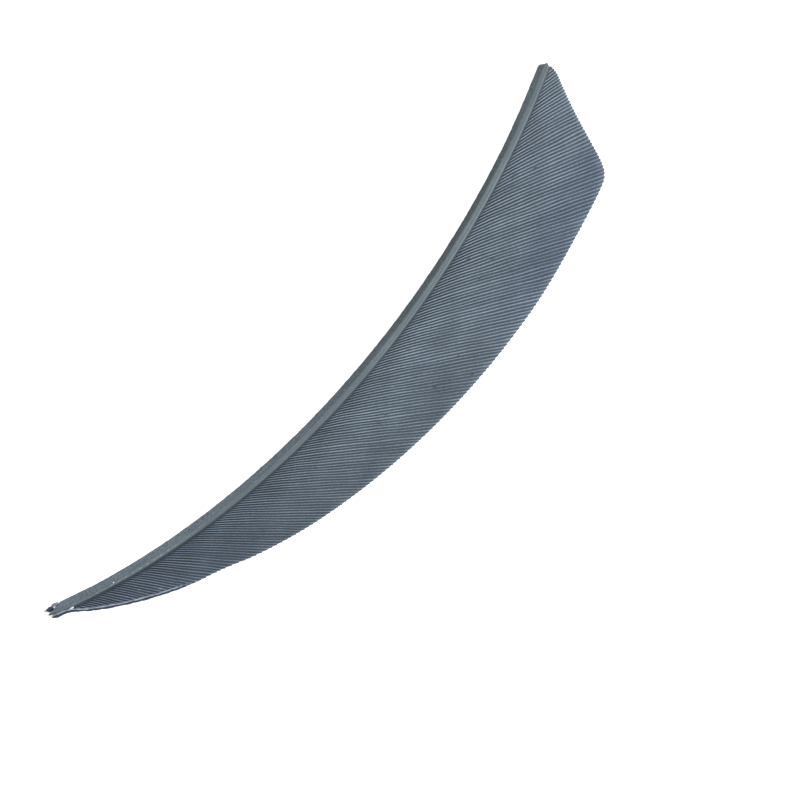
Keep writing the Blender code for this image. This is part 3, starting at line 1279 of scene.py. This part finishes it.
@dataclass(frozen=True)
class WebTone:
    """Slow changes of brightness and colour over the vane, with places in millimetres."""

    narrow_painted_shade_level: float = 0.56
    narrow_run: Step = Step(8.0, 72.0)
    shaft_side_level: float = 1.10
    rim_side_drop: float = 0.37
    rim_side_run: Step = Step(7.0, 14.0)
    patches: tuple[Patch, ...] = (
        Patch(0.20, Step(72.0, 85.0), Step(7.0, 12.0)),
        Patch(-0.15, Bump(99.0, 7.0), Step(6.0, 8.5)),
        Patch(-0.12, Step(92.0, 108.0), Step(12.0, 15.5)),
        Patch(-0.24, Bump(32.0, 12.0), Bump(8.2, 2.2)),
        Patch(0.18, Bump(80.0, 9.0), Bump(4.8, 1.6)),
        Patch(-0.18, Bump(80.0, 9.0), Bump(8.4, 1.6)),
        Patch(0.22, Step(55.0, 30.0), Bump(2.6, 1.8)),
        Patch(0.12, Step(85.0, 98.0), Bump(2.6, 1.8)),
        Patch(-0.16, Bump(70.5, 4.5), Bump(15.0, 3.0)),
    )
    bar_slant: float = 0.55
    bar_wave: Wave = Wave(14, (4.3, 7.1, 12.5))
    bar_depth: float = 0.07
    bar_depth_run: Step = Step(25.0, 50.0)
    bar_fade: float = 0.03
    bar_fade_run: Step = Step(75.0, 90.0)
    cloud_slant: float = 0.6
    cloud_wave: Wave = Wave(19, (5.5, 9.5))
    cloud_depth: float = 0.05
    cool_narrow: Step = Step(50.0, 20.0)
    cool_corner_along: Step = Step(80.0, 98.0)
    cool_corner_across: Step = Step(9.0, 14.0)

    def brightness(self, along: Array, across: Array) -> Array:
        """Factor on the webs' brightness.

        Args:
            along: Distances along the shaft, in millimetres.
            across: Distances from its outer edge, in millimetres.

        Returns:
            The factor: darkened towards the narrow end by painted shade, with soft patches and pale bars
                across the barbs.
        """
        # Painted shade: the webs darken towards the narrow end.
        value = self.narrow_painted_shade_level + (1 - self.narrow_painted_shade_level) * self.narrow_run.at(along)
        value = value * (self.shaft_side_level - self.rim_side_drop * self.rim_side_run.at(across))
        for patch in self.patches:
            value = value * patch.factor(along, across)
        depth = self.bar_depth * self.bar_depth_run.at(along) - self.bar_fade * self.bar_fade_run.at(along)
        value = value * (1 + depth * self.bar_wave.at(along - self.bar_slant * across))
        return value * (1 + self.cloud_depth * self.cloud_wave.at(along * self.cloud_slant + across))

    def coolness(self, along: Array, across: Array) -> Array:
        """Where the dye is bluer: over the narrow third and beside the rounded corner.

        Args:
            along: Distances along the shaft, in millimetres.
            across: Distances from its outer edge, in millimetres.

        Returns:
            The share of the bluer colour.
        """
        corner = self.cool_corner_along.at(along) * self.cool_corner_across.at(across)
        return np.maximum(self.cool_narrow.at(along), corner)


@dataclass
class Webs:
    """The arched webs of hooked barbules: one closed ribbon between each barb and the next."""

    line: ShaftLine
    vane: VaneShape
    finish: WebFinish
    tones: WebTone = WebTone()
    seed: int = 3
    row_step: float = 0.00013
    fewest_rows: int = 6
    side_margin: tuple[float, float, float] = (0.16, 0.09, 0.0035)
    base_lift: float = 0.00007
    shell: float = 0.00005
    least_height: float = 0.00001
    arch: float = 0.00012
    arch_power: float = 0.65
    arch_spread: float = 0.10
    arch_waver: float = 0.12
    arch_waver_lengths: tuple[float, ...] = (0.0009, 0.0021, 0.0047)
    arch_waver_seed: int = 100
    root_start: float = -0.00034
    root_rise: Step = Step(-0.00005, 0.00020)
    root_dip: float = 0.00007
    root_band: Step = Step(0.00006, -0.00007)
    root_band_margin: float = 0.01
    root_tone: tuple[float, float] = (0.05, 0.18)
    root_shade_start: float = -0.00007
    root_shade_end: tuple[float, float] = (0.00026, 0.00012)
    root_change: Step = Step(0.015, 0.070)
    tip_retreat: float = 0.00005
    tip_curve: float = 0.8
    tip_fall: float = 0.6
    tip_fall_run: float = 0.0005
    tip_light: float = 0.22
    tip_light_run: Step = Step(0.90, 0.99)
    barbule_relief: float = 0.000009
    barbule_shear: float = 0.00030
    tone_spread: float = 0.06
    tone_wave: Wave = Wave(2, (9.0, 17.0, 31.0))
    tone_waver: float = 0.04
    crest_power: float = 0.8
    gap_depth: float = 0.9
    dot_depth: float = 0.6
    spot_spread: tuple[float, float] = (0.60, 1.25)
    dark_strength: float = 0.9
    pale_strength: float = 0.7
    top_places: tuple[float, ...] = (0.0, 0.12, 0.30, 0.50, 0.70, 0.88, 1.0)
    under_places: tuple[float, ...] = (0.92, 0.64, 0.36, 0.08)

    def __post_init__(self) -> None:
        """Find the tips, and give each web its own tone and arch."""
        self.tips = self.vane.tip_out(self.vane.roots)
        generator = np.random.default_rng(self.seed)
        number = np.arange(len(self.vane.roots))
        self.web_tone = 1 + self.tone_spread * generator.normal(size=len(number)).clip(-2, 2)
        self.web_tone += self.tone_waver * self.tone_wave.at(number)
        self.web_arch = 1 + self.arch_spread * generator.normal(size=len(number)).clip(-2, 2)

    def mark_masks(self, root_along: Array, out: Array) -> dict[MarkKind, Array]:
        """Where the small marks of the vane are.

        Args:
            root_along: Distances along the shaft of the roots that the points belong to.
            out: Distances out.

        Returns:
            A mask for each kind of mark.
        """
        masks = {kind: np.zeros(np.broadcast(root_along, out).shape) for kind in MarkKind}
        length_part, width_part = self.spot_spread
        for mark in VANE_MARKS:
            mark_along = mark.along * MILLIMETRE
            mark_out = mark.across * MILLIMETRE - self.line.vane_root(mark_along)
            mark_run = self.vane.lean.run(mark_out)
            mark_root = mark_along - mark_run * self.vane.fan(mark_along - mark_run)
            spot = soft_bump(out, mark_out, length_part * mark.length * MILLIMETRE)
            spot = spot * soft_bump(root_along, mark_root, width_part * mark.width * MILLIMETRE)
            masks[mark.kind] = np.maximum(masks[mark.kind], spot)
        return masks

    def profile(self, places: Array) -> Array:
        """Height of the arch over its width, 1 at its crest."""
        return np.sin(math.pi * places) ** self.arch_power

    def height(self, number: int, places: Array, out: Array, tip: Array, tip_along: Array,
               sunk: Array) -> Array:
        """Height of the ribbon's points: its arch with the relief of the barbules, or its underside.

        Args:
            number: Number of the barb on its narrow side.
            places: Places over the web's width.
            out: Distances out.
            tip: Distance out of the tip at each place.
            tip_along: Distance along the shaft of that tip.
            sunk: How far the arch is sunk by a mark, as a share.

        Returns:
            The heights above the floor.
        """
        profile = self.profile(places)
        rise = self.root_rise.at(out)
        fall = 1 - self.tip_fall * smooth_step(out, tip - self.tip_fall_run, tip)
        waver = 1 + self.arch_waver * Wave(self.arch_waver_seed + number, self.arch_waver_lengths).at(out)
        arch = self.arch * self.web_arch[number] * waver * rise * fall * (1 - self.gap_depth * sunk)
        height = self.vane.height(tip_along, np.clip(out / tip, 0.0, 1.0), tip) + self.base_lift
        height = height + arch * profile - self.root_dip * (1 - rise)
        slant = np.arange(len(out))[:, None] * self.row_step + self.barbule_shear * places
        relief = self.barbule_relief * np.cos(math.pi * slant / self.row_step) * profile
        top = np.arange(places.size)[None] < len(self.top_places)
        return np.maximum(height + np.where(top, relief, -self.shell), self.least_height)

    def ribbon(self, number: int) -> tuple[Array, dict[str, Array]]:
        """One web as a closed tube.

        Args:
            number: Number of the barb on its narrow side.

        Returns:
            Rings of points, and the marks for the finish.
        """
        places = np.array(self.top_places + self.under_places)[None]
        roots = self.vane.roots[number:number + 2]
        tips = self.tips[number:number + 2]
        tip = tips[0] + (tips[1] - tips[0]) * places
        retreat = self.tip_retreat * (1 + self.tip_curve * (2 * places - 1) ** 2)
        last = tip - np.minimum(retreat, tip / 3)
        rows = max(self.fewest_rows, round(float(tip.mean() - self.root_start) / self.row_step))
        out = self.root_start + (last - self.root_start) * np.linspace(0.0, 1.0, rows + 1)[:, None]
        band = self.root_band.at(out)
        outer_margin, root_margin, root_run = self.side_margin
        margin = outer_margin + root_margin * np.exp(-np.maximum(out, 0.0) / root_run)
        margin = margin * (1 - band) + self.root_band_margin * band
        inward = margin + (1 - 2 * margin) * places
        root_along = roots[0] + (roots[1] - roots[0]) * inward
        along = root_along + self.vane.run(root_along, out)
        across = self.line.vane_root(root_along) + out
        tip_along = root_along + self.vane.lean.run(tip)

        masks = self.mark_masks(root_along, out)
        gap, dot = masks[MarkKind.GAP], masks[MarkKind.DOT]
        sunk = np.maximum(gap, self.dot_depth * dot)
        height = self.height(number, places, out, tip, tip_along, sunk)
        # Painted shade and light: the arch mark drops to root_tone in a band at the barbs' roots, and
        # elsewhere follows the arch's height, lighter on crests.
        narrow_tone, wide_tone = self.root_tone
        narrow_end, wide_end = self.root_shade_end
        change = self.root_change.at(along)
        lit = smooth_step(out, self.root_shade_start, narrow_end + (wide_end - narrow_end) * change)
        root_tone = narrow_tone + (wide_tone - narrow_tone) * change
        crest = self.profile(places) ** self.crest_power * lit + root_tone * (1 - lit)
        millimetres = (along / MILLIMETRE, across / MILLIMETRE)
        tip_light = 1 + self.tip_light * self.tip_light_run.at(out / tip)
        marks = {
            "arch": crest * (1 - sunk),
            "dark": np.maximum(gap, dot) * self.dark_strength,
            "pale": masks[MarkKind.FLECK] * self.pale_strength,
            "cool": self.tones.coolness(*millimetres),
            "tone": self.web_tone[number] * self.tones.brightness(*millimetres) * tip_light,
            "length": out,
            "side": number + inward,
        }
        return self.line.place(along, across, height), marks

    def build(self) -> list[bpy.types.Object]:
        """Build one piece for each stretch of the vane.

        Returns:
            The pieces, from the narrow end to the wide end.
        """
        material = self.finish.material()
        grown = np.cumsum(self.tips[:-1])
        stretch_of_web = np.minimum(np.ceil(grown / grown[-1] * len(Stretch)), len(Stretch)) - 1
        pieces = []
        for order, stretch in enumerate(Stretch):
            tubes = TubeSet()
            for number in np.flatnonzero(stretch_of_web == order):
                rings, marks = self.ribbon(int(number))
                tubes.add(rings, **marks)
            pieces.append(tubes.build(f"webs_{stretch.value}", material, SHARP_ANGLE))
        return pieces


@dataclass
class Barbs:
    """The barbs: tapered horn rods in the grooves between the webs, rooted in the shaft's side."""

    line: ShaftLine
    vane: VaneShape
    finish: BarbFinish
    ring_step: float = 0.00036
    fewest_rings: int = 5
    half_width: tuple[float, float, float] = (0.23, 0.10, 0.0035)
    depth: float = 0.00022
    depth_taper: float = 0.25
    top_lift: float = 0.00006
    root_start: float = -0.00042
    root_sink: float = 0.00010
    root_sink_run: Step = Step(0.0006, -0.0003)
    tooth: float = 0.00003
    point_length: float = 0.00012
    point_angles: tuple[float, ...] = (30.0, 60.0, 85.0)
    sides: int = 8
    root_tone: float = 0.675
    outer_rise: float = 0.675
    outer_run: Step = Step(0.0005, 0.0060)
    tip_rise: float = 0.45
    tip_run: Step = Step(0.92, 1.0)
    patches: tuple[Patch, ...] = (
        Patch(0.60, Step(0.010, 0.075)),
        Patch(0.45, Step(0.085, 0.118), Step(0.006, 0.002)),
    )

    def tone(self, along: Array, out: Array, part_out: Array) -> Array:
        """Brightness of the barbs, as a factor. Their patches lie along and out.

        Args:
            along: Distances along the shaft.
            out: Distances out.
            part_out: Parts of the way from the root to the tip.

        Returns:
            The factor: darkest at the roots, and palest near the tips.
        """
        value = self.root_tone + self.outer_rise * self.outer_run.at(out)
        value = value + self.tip_rise * self.tip_run.at(part_out)
        for patch in self.patches:
            value = value * patch.factor(along, out)
        return value

    def rod(self, number: int, root_along: float, tip: float) -> tuple[Array, dict[str, Array]]:
        """One barb as a closed tube.

        Args:
            number: Its number from the narrow end.
            root_along: Distance along the shaft of its root.
            tip: Distance out of its tip.

        Returns:
            Rings of points, and the marks for the finish.
        """
        end = tip + self.tooth
        count = max(self.fewest_rings, round((end - self.root_start) / self.ring_step))
        body = np.linspace(self.root_start, end - self.point_length, count)
        turned = np.radians(self.point_angles)
        out = np.concatenate((body, end - self.point_length * (1 - np.sin(turned))))[:, None]
        shrink = np.concatenate((np.ones(count), np.cos(turned)))[:, None]
        angle = np.linspace(0, 2 * math.pi, self.sides, endpoint=False)[None]
        along = root_along + self.vane.run(root_along, out)
        across = self.line.vane_root(root_along) + out
        outer_part, root_part, root_run = self.half_width
        pitch_part = outer_part + root_part * np.exp(-np.maximum(out, 0.0) / root_run)
        half_width = pitch_part * self.vane.pitch_square(root_along, along, out) * shrink
        part_out = np.clip(out / tip, 0.0, 1.0)
        depth = self.depth * (1 - self.depth_taper * part_out) * shrink
        tip_along = root_along + float(self.vane.lean.run(tip))
        top = self.vane.height(tip_along, part_out, tip) + self.top_lift
        top = top - self.root_sink * self.root_sink_run.at(out)
        lean = self.vane.angle(root_along, out)
        sideways = half_width * np.sin(angle)
        height = np.maximum(top - depth / 2 + depth / 2 * np.cos(angle), 0.0)
        rings = self.line.place(along - sideways * np.sin(lean), across + sideways * np.cos(lean), height)
        marks = {
            "length": out,
            "side": number + angle / (2 * math.pi),
            "tone": self.tone(along, out, part_out),
        }
        return rings, marks

    def build(self) -> bpy.types.Object:
        """Build the piece.

        Returns:
            The piece in the scene.
        """
        tubes = TubeSet()
        tips = self.vane.tip_out(self.vane.roots)
        for number, (root_along, tip) in enumerate(zip(self.vane.roots, tips)):
            rings, marks = self.rod(number, float(root_along), float(tip))
            tubes.add(rings, **marks)
        return tubes.build("barbs", self.finish.material(), SHARP_ANGLE)


@dataclass(frozen=True)
class Roll:
    """One roll of the rim.

    It has its distance outside the pale line, its swelling, the run over which it thins at the narrow end,
    its half width, its height and its pale mark.
    """

    outward: float
    swelling: float
    narrow_run: float
    half_width: float
    crown: float
    pale: float


@dataclass
class CurledRim:
    """The trimmed edge of the narrow end, where the barb ends rolled over: an inner roll painted light on its
    top and an outer roll painted dark as shade.
    """

    line: ShaftLine
    vane: VaneShape
    finish: RimFinish
    start: float = -0.0028
    end: float = 0.0232
    thin_from: float = 0.0150
    inset: float = 0.00028
    lip_side: tuple[float, float] = (0.00186, 0.075)
    bend: float = 0.00012
    swelling_place: Bump = Bump(-0.0012, 0.0009)
    wander: float = 0.00004
    wander_lengths: tuple[float, ...] = (0.0016, 0.0029, 0.0061)
    narrow_power: float = 0.7
    thinning: float = 0.85
    thinnest: float = 0.04
    waver: float = 0.16
    waver_lengths: tuple[float, ...] = (0.0007, 0.0013, 0.0031)
    bead_depth: float = 0.08
    painted_light_top: Step = Step(-0.2, 0.5)
    painted_shade_side: Step = Step(0.9, 0.3)
    pale_waver: float = 0.25
    pale_waver_lengths: tuple[float, ...] = (0.0009, 0.0021, 0.0052)
    seed: int = 31
    station_step: float = 0.00012
    sides: int = 12
    # The first roll is painted pale on top as lit; the second, with no pale, is painted dark as the shaded
    # underside of the curl.
    rolls: tuple[Roll, ...] = (
        Roll(outward=-0.00003, swelling=0.00002, narrow_run=0.0012,
             half_width=0.00018, crown=0.00034, pale=0.95),
        Roll(outward=0.00028, swelling=0.00007, narrow_run=0.0010,
             half_width=0.00019, crown=0.00024, pale=0.0),
    )

    def tube(self, tubes: TubeSet, roll: Roll, seed: int) -> None:
        """Add one roll.

        Args:
            tubes: Where it goes.
            roll: Its place and size.
            seed: The first of the three seeds that pick its unevenness.
        """
        count = round((self.end - self.start) / self.station_step)
        along = np.linspace(self.start, self.end, count + 1)[:, None]
        beside_edge = self.vane.edge(np.maximum(along, 0.0)) - self.inset
        beside_lip = self.lip_side[0] + self.lip_side[1] * along
        pale_line = self.bend * np.logaddexp(beside_edge / self.bend, beside_lip / self.bend)
        swelling = roll.swelling * self.swelling_place.at(along)
        wander = self.wander * Wave(seed, self.wander_lengths).at(along)
        centre = pale_line + roll.outward + swelling + wander
        full = smooth_step(along, self.start, self.start + roll.narrow_run) ** self.narrow_power
        full = full * (1 - self.thinning * smooth_step(along, self.thin_from, self.end))
        waver = 1 + self.waver * Wave(seed + 1, self.waver_lengths).at(along)
        full = np.maximum(full, self.thinnest) * waver
        angle = np.linspace(0, 2 * math.pi, self.sides, endpoint=False)[None]
        outward, upward = -np.cos(angle), np.sin(angle)
        beads = 1 + self.bead_depth * np.cos(2 * math.pi * along / self.vane.pitch_narrow)
        base = self.vane.height(np.maximum(along, 0.0), 1.0, 0.0)
        height = base + roll.crown * full * (1 + upward * beads) / 2
        # Painted light on each roll's top and painted shade on its outer side, its strength wavering along
        # the rim.
        pale_wavered = 1 - self.pale_waver + self.pale_waver * Wave(seed + 2, self.pale_waver_lengths).at(along)
        pale = roll.pale * pale_wavered * self.painted_light_top.at(upward) * self.painted_shade_side.at(outward)
        across = centre + (roll.half_width + swelling) * full * outward
        tubes.add(self.line.place(along, across, height), pale=pale)

    def build(self) -> bpy.types.Object:
        """Build the piece.

        Returns:
            The piece in the scene.
        """
        tubes = TubeSet()
        for number, roll in enumerate(self.rolls):
            self.tube(tubes, roll, self.seed + 3 * number)
        return tubes.build("curled_rim", self.finish.material(), SHARP_ANGLE)


@dataclass(frozen=True)
class Crumb:
    """A rough lump, in millimetres.

    It has its middle along and across, its half length, half width and height, the height of its underside,
    and its pale mark, which has no unit.
    """

    place: tuple[float, float]
    size: tuple[float, float, float]
    base: float
    pale: float


CRUMBS = (
    Crumb(place=(-2.20, 0.53), size=(0.66, 0.42, 0.42), base=0.0, pale=0.0),
    Crumb(place=(-1.12, 0.10), size=(0.72, 0.30, 0.24), base=0.0, pale=0.48),
    Crumb(place=(-2.98, 0.42), size=(0.34, 0.17, 0.12), base=0.0, pale=1.05),
    Crumb(place=(-2.30, 1.28), size=(0.34, 0.10, 0.20), base=0.30, pale=1.30),
    Crumb(place=(1.40, 1.86), size=(0.42, 0.12, 0.22), base=0.95, pale=1.80),
    Crumb(place=(9.69, 1.37), size=(0.09, 0.19, 0.12), base=1.08, pale=1.90),
    # A painted glint: a pale lump that stands for a highlight on the shaft near the wide end.
    Crumb(place=(97.67, 1.56), size=(0.14, 0.07, 0.06), base=1.24, pale=1.30),
)


@dataclass
class TornPith:
    """The torn narrow end with its dark crumb and loose fibres, the pale flakes left on the shaft, and a pale
    lump near the wide end that is a painted glint.
    """

    line: ShaftLine
    finish: RimFinish
    fibre_start: tuple[float, float] = (-0.0022, 0.00053)
    crumb_half: tuple[float, float] = (0.00066, 0.00042)
    crumb_rings: int = 14
    crumb_sides: int = 18
    crumb_pole: float = 0.04
    crumb_roughness: float = 0.16
    crumb_seed: int = 41
    wisp_headings: tuple[float, ...] = (183.0, 196.0)
    wisp_length: float = 0.00098
    fibre_seed: int = 7
    fibre_count: int = 24
    fibre_headings: tuple[float, float] = (100.0, 290.0)
    fibre_lengths: tuple[float, float] = (0.00010, 0.00026)
    fibre_from_middle: float = 0.85
    fibre_radius: float = 0.00004
    fibre_taper: float = 0.8
    fibre_heights: tuple[float, float] = (0.00008, 0.00030)
    fibre_sag: float = 0.6
    fibre_rings: int = 12
    fibre_sides: int = 6
    full_bend_length: float = 0.0005
    bare_share: float = 0.45
    bare_mark: float = 1.4

    def crumb(self, tubes: TubeSet, crumb: Crumb, seed: int) -> None:
        """Add one rough lump.

        Args:
            tubes: Where it goes.
            crumb: Its place, size and colour.
            seed: Picks its bumps.
        """
        latitude = np.linspace(self.crumb_pole, math.pi - self.crumb_pole, self.crumb_rings)[:, None]
        angle = np.linspace(0, 2 * math.pi, self.crumb_sides, endpoint=False)[None]
        bumps = np.random.default_rng(seed).normal(0.0, 1.0, (self.crumb_rings, self.crumb_sides))
        bumps = (bumps + np.roll(bumps, 1, axis=0) + np.roll(bumps, 1, axis=1)) / 3
        radius = 1 + self.crumb_roughness * bumps * np.sin(latitude)
        half_length, half_width, full_height = (value * MILLIMETRE for value in crumb.size)
        along = crumb.place[0] * MILLIMETRE - half_length * np.cos(latitude) * radius
        across = crumb.place[1] * MILLIMETRE + half_width * np.sin(latitude) * np.cos(angle) * radius
        height = full_height / 2 * (1 + np.sin(latitude) * np.sin(angle) * radius)
        height = np.maximum(height, 0.0) + crumb.base * MILLIMETRE
        tubes.add(self.line.place(along, across, height), pale=np.full(bumps.shape, crumb.pale))

    def fibre(self, tubes: TubeSet, generator: np.random.Generator, heading: float, length: float,
              from_middle: float) -> None:
        """Add one loose fibre that leaves the crumb.

        Args:
            tubes: Where it goes.
            generator: Picks its bend, height and colour.
            heading: Its first direction, in radians from along towards across.
            length: Its length.
            from_middle: Where it starts, as a part of the way from the crumb's middle to its side.
        """
        bend = generator.uniform(-1.0, 1.0) * min(1.0, self.full_bend_length / length)
        pale = self.bare_mark * float(generator.uniform() < self.bare_share)
        height = generator.uniform(*self.fibre_heights)
        part = np.linspace(0.0, 1.0, self.fibre_rings)[:, None]
        turn = heading + bend * part
        stride = length / self.fibre_rings
        start_along = self.fibre_start[0] + from_middle * self.crumb_half[0] * math.cos(heading)
        start_across = self.fibre_start[1] + from_middle * self.crumb_half[1] * math.sin(heading)
        along = start_along + np.cumsum(np.cos(turn), axis=0) * stride
        across = start_across + np.cumsum(np.sin(turn), axis=0) * stride
        angle = np.linspace(0, 2 * math.pi, self.fibre_sides, endpoint=False)[None]
        radius = self.fibre_radius * (1 - self.fibre_taper * part)
        side = radius * np.cos(angle)
        lifted = height * (1 - self.fibre_sag * part) + radius * np.sin(angle)
        rings = self.line.place(along - side * np.sin(turn), across + side * np.cos(turn), lifted)
        tubes.add(rings, pale=np.full(side.shape, pale))

    def build(self) -> bpy.types.Object:
        """Build the piece.

        Returns:
            The piece in the scene.
        """
        tubes = TubeSet()
        for number, crumb in enumerate(CRUMBS):
            self.crumb(tubes, crumb, self.crumb_seed + number)
        generator = np.random.default_rng(self.fibre_seed)
        for heading in self.wisp_headings:
            self.fibre(tubes, generator, math.radians(heading), self.wisp_length, 0.0)
        for _ in range(self.fibre_count):
            heading = generator.uniform(*np.radians(self.fibre_headings))
            length = generator.uniform(*self.fibre_lengths)
            self.fibre(tubes, generator, heading, length, self.fibre_from_middle)
        return tubes.build("torn_pith", self.finish.material(), SHARP_ANGLE)


@dataclass(frozen=True)
class SoftLight:
    """A square light.

    It comes from a direction in degrees from the right of the camera's frame and in degrees above the floor.
    Its power is in watts, and its size is its side.
    """

    name: str
    azimuth: float
    elevation: float
    power: float
    size: float


@dataclass
class Studio:
    """Plain pale floor, two soft lights, even surroundings and a camera that looks straight down."""

    line: ShaftLine
    image_width: float = 0.13997
    view_place: tuple[float, float] = (0.0649, -0.02196)
    turn: float = math.radians(-48.36)
    camera_height: float = 0.60
    sensor: float = 36.0
    floor_size: float = 3.0
    floor_colour: Colour = (0.90, 0.90, 0.90)
    floor_roughness: float = 0.9
    floor_glow: float = 0.35
    light_distance: float = 1.5
    lights: tuple[SoftLight, ...] = (
        SoftLight("key", azimuth=-22.0, elevation=38.0, power=24.0, size=0.55),
        SoftLight("fill", azimuth=150.0, elevation=60.0, power=7.0, size=0.9),
    )
    surroundings: Colour = (0.97, 0.985, 1.0)
    surroundings_strength: float = 0.75

    def build_floor(self) -> bpy.types.Object:
        """Build the floor.

        Returns:
            The floor.
        """
        bpy.ops.mesh.primitive_plane_add(size=self.floor_size)
        floor = bpy.context.object
        floor.name = "floor"
        material, _, shader = new_material("pale floor")
        shader.inputs["Base Color"].default_value = (*self.floor_colour, 1.0)
        shader.inputs["Roughness"].default_value = self.floor_roughness
        shader.inputs["Emission Color"].default_value = (1.0, 1.0, 1.0, 1.0)
        shader.inputs["Emission Strength"].default_value = self.floor_glow
        floor.data.materials.append(material)
        floor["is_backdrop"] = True
        return floor

    def build_light(self, soft: SoftLight) -> None:
        """Add one soft light that faces the middle of the floor.

        Args:
            soft: The light's place, power and size.
        """
        lamp = bpy.data.lights.new(soft.name, "AREA")
        lamp.energy = soft.power
        lamp.size = soft.size
        light = bpy.data.objects.new(soft.name, lamp)
        heading = math.radians(soft.azimuth) + self.turn
        flat = math.cos(math.radians(soft.elevation)) * self.light_distance
        rise = math.sin(math.radians(soft.elevation)) * self.light_distance
        light.location = (flat * math.cos(heading), flat * math.sin(heading), rise)
        light.rotation_euler = (math.radians(90 - soft.elevation), 0.0, heading + math.radians(90))
        bpy.context.scene.collection.objects.link(light)

    def build_camera(self) -> None:
        """Add the camera straight above the middle of the photograph's frame."""
        data = bpy.data.cameras.new("camera")
        data.sensor_width = self.sensor
        data.lens = self.sensor * self.camera_height / self.image_width
        camera = bpy.data.objects.new("camera", data)
        start = self.line.points[0]
        camera.location = (start[0] + self.view_place[0], start[1] + self.view_place[1], self.camera_height)
        camera.rotation_euler = (0.0, 0.0, self.turn)
        bpy.context.scene.collection.objects.link(camera)
        bpy.context.scene.camera = camera

    def build(self) -> None:
        """Build the whole set."""
        world = bpy.data.worlds.new("studio")
        world.use_nodes = True
        background = world.node_tree.nodes["Background"]
        background.inputs["Color"].default_value = (*self.surroundings, 1.0)
        background.inputs["Strength"].default_value = self.surroundings_strength
        scene = bpy.context.scene
        scene.world = world
        scene.view_settings.view_transform = "Standard"
        self.build_floor()
        for light in self.lights:
            self.build_light(light)
        self.build_camera()


def dress(piece: bpy.types.Object, slot: Slot, node: str) -> None:
    """Join a piece to the frame and report it.

    Args:
        piece: The piece.
        slot: Not used.
        node: The solid that it stands for.
    """
    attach(piece, "root")
    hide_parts(node)
    triangles = sum(len(face.vertices) - 2 for face in piece.data.polygons)
    LOG.info("%s: %d triangles", piece.name, triangles)


def write_sizes() -> None:
    """Turn the solids' box and the dressed object's box into plain lists."""
    boxes = {"cad": CAD_BOX, "visual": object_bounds()}
    lists = {name: [list(corner) for corner in box] for name, box in boxes.items()}


def main() -> None:
    """Build the feather piece by piece, then the studio."""
    logging.basicConfig(level=logging.INFO, format="%(name)s: %(message)s")
    line = ShaftLine()
    vane = VaneShape(line, BarbLean())
    effects = Effects()
    dress(GroundShaft(line, QuillFinish(effects)).build(), Slot.QUILL, "shaft")
    for piece in Webs(line, vane, WebFinish(effects)).build():
        dress(piece, Slot.VANE, "vane")
    dress(Barbs(line, vane, BarbFinish(effects)).build(), Slot.VANE, "vane")
    rim_finish = RimFinish(effects)
    dress(CurledRim(line, vane, rim_finish).build(), Slot.VANE, "vane")
    dress(TornPith(line, rim_finish).build(), Slot.QUILL, "shaft")
    Studio(line).build()
    write_sizes()


if __name__ == "__main__":
    main()
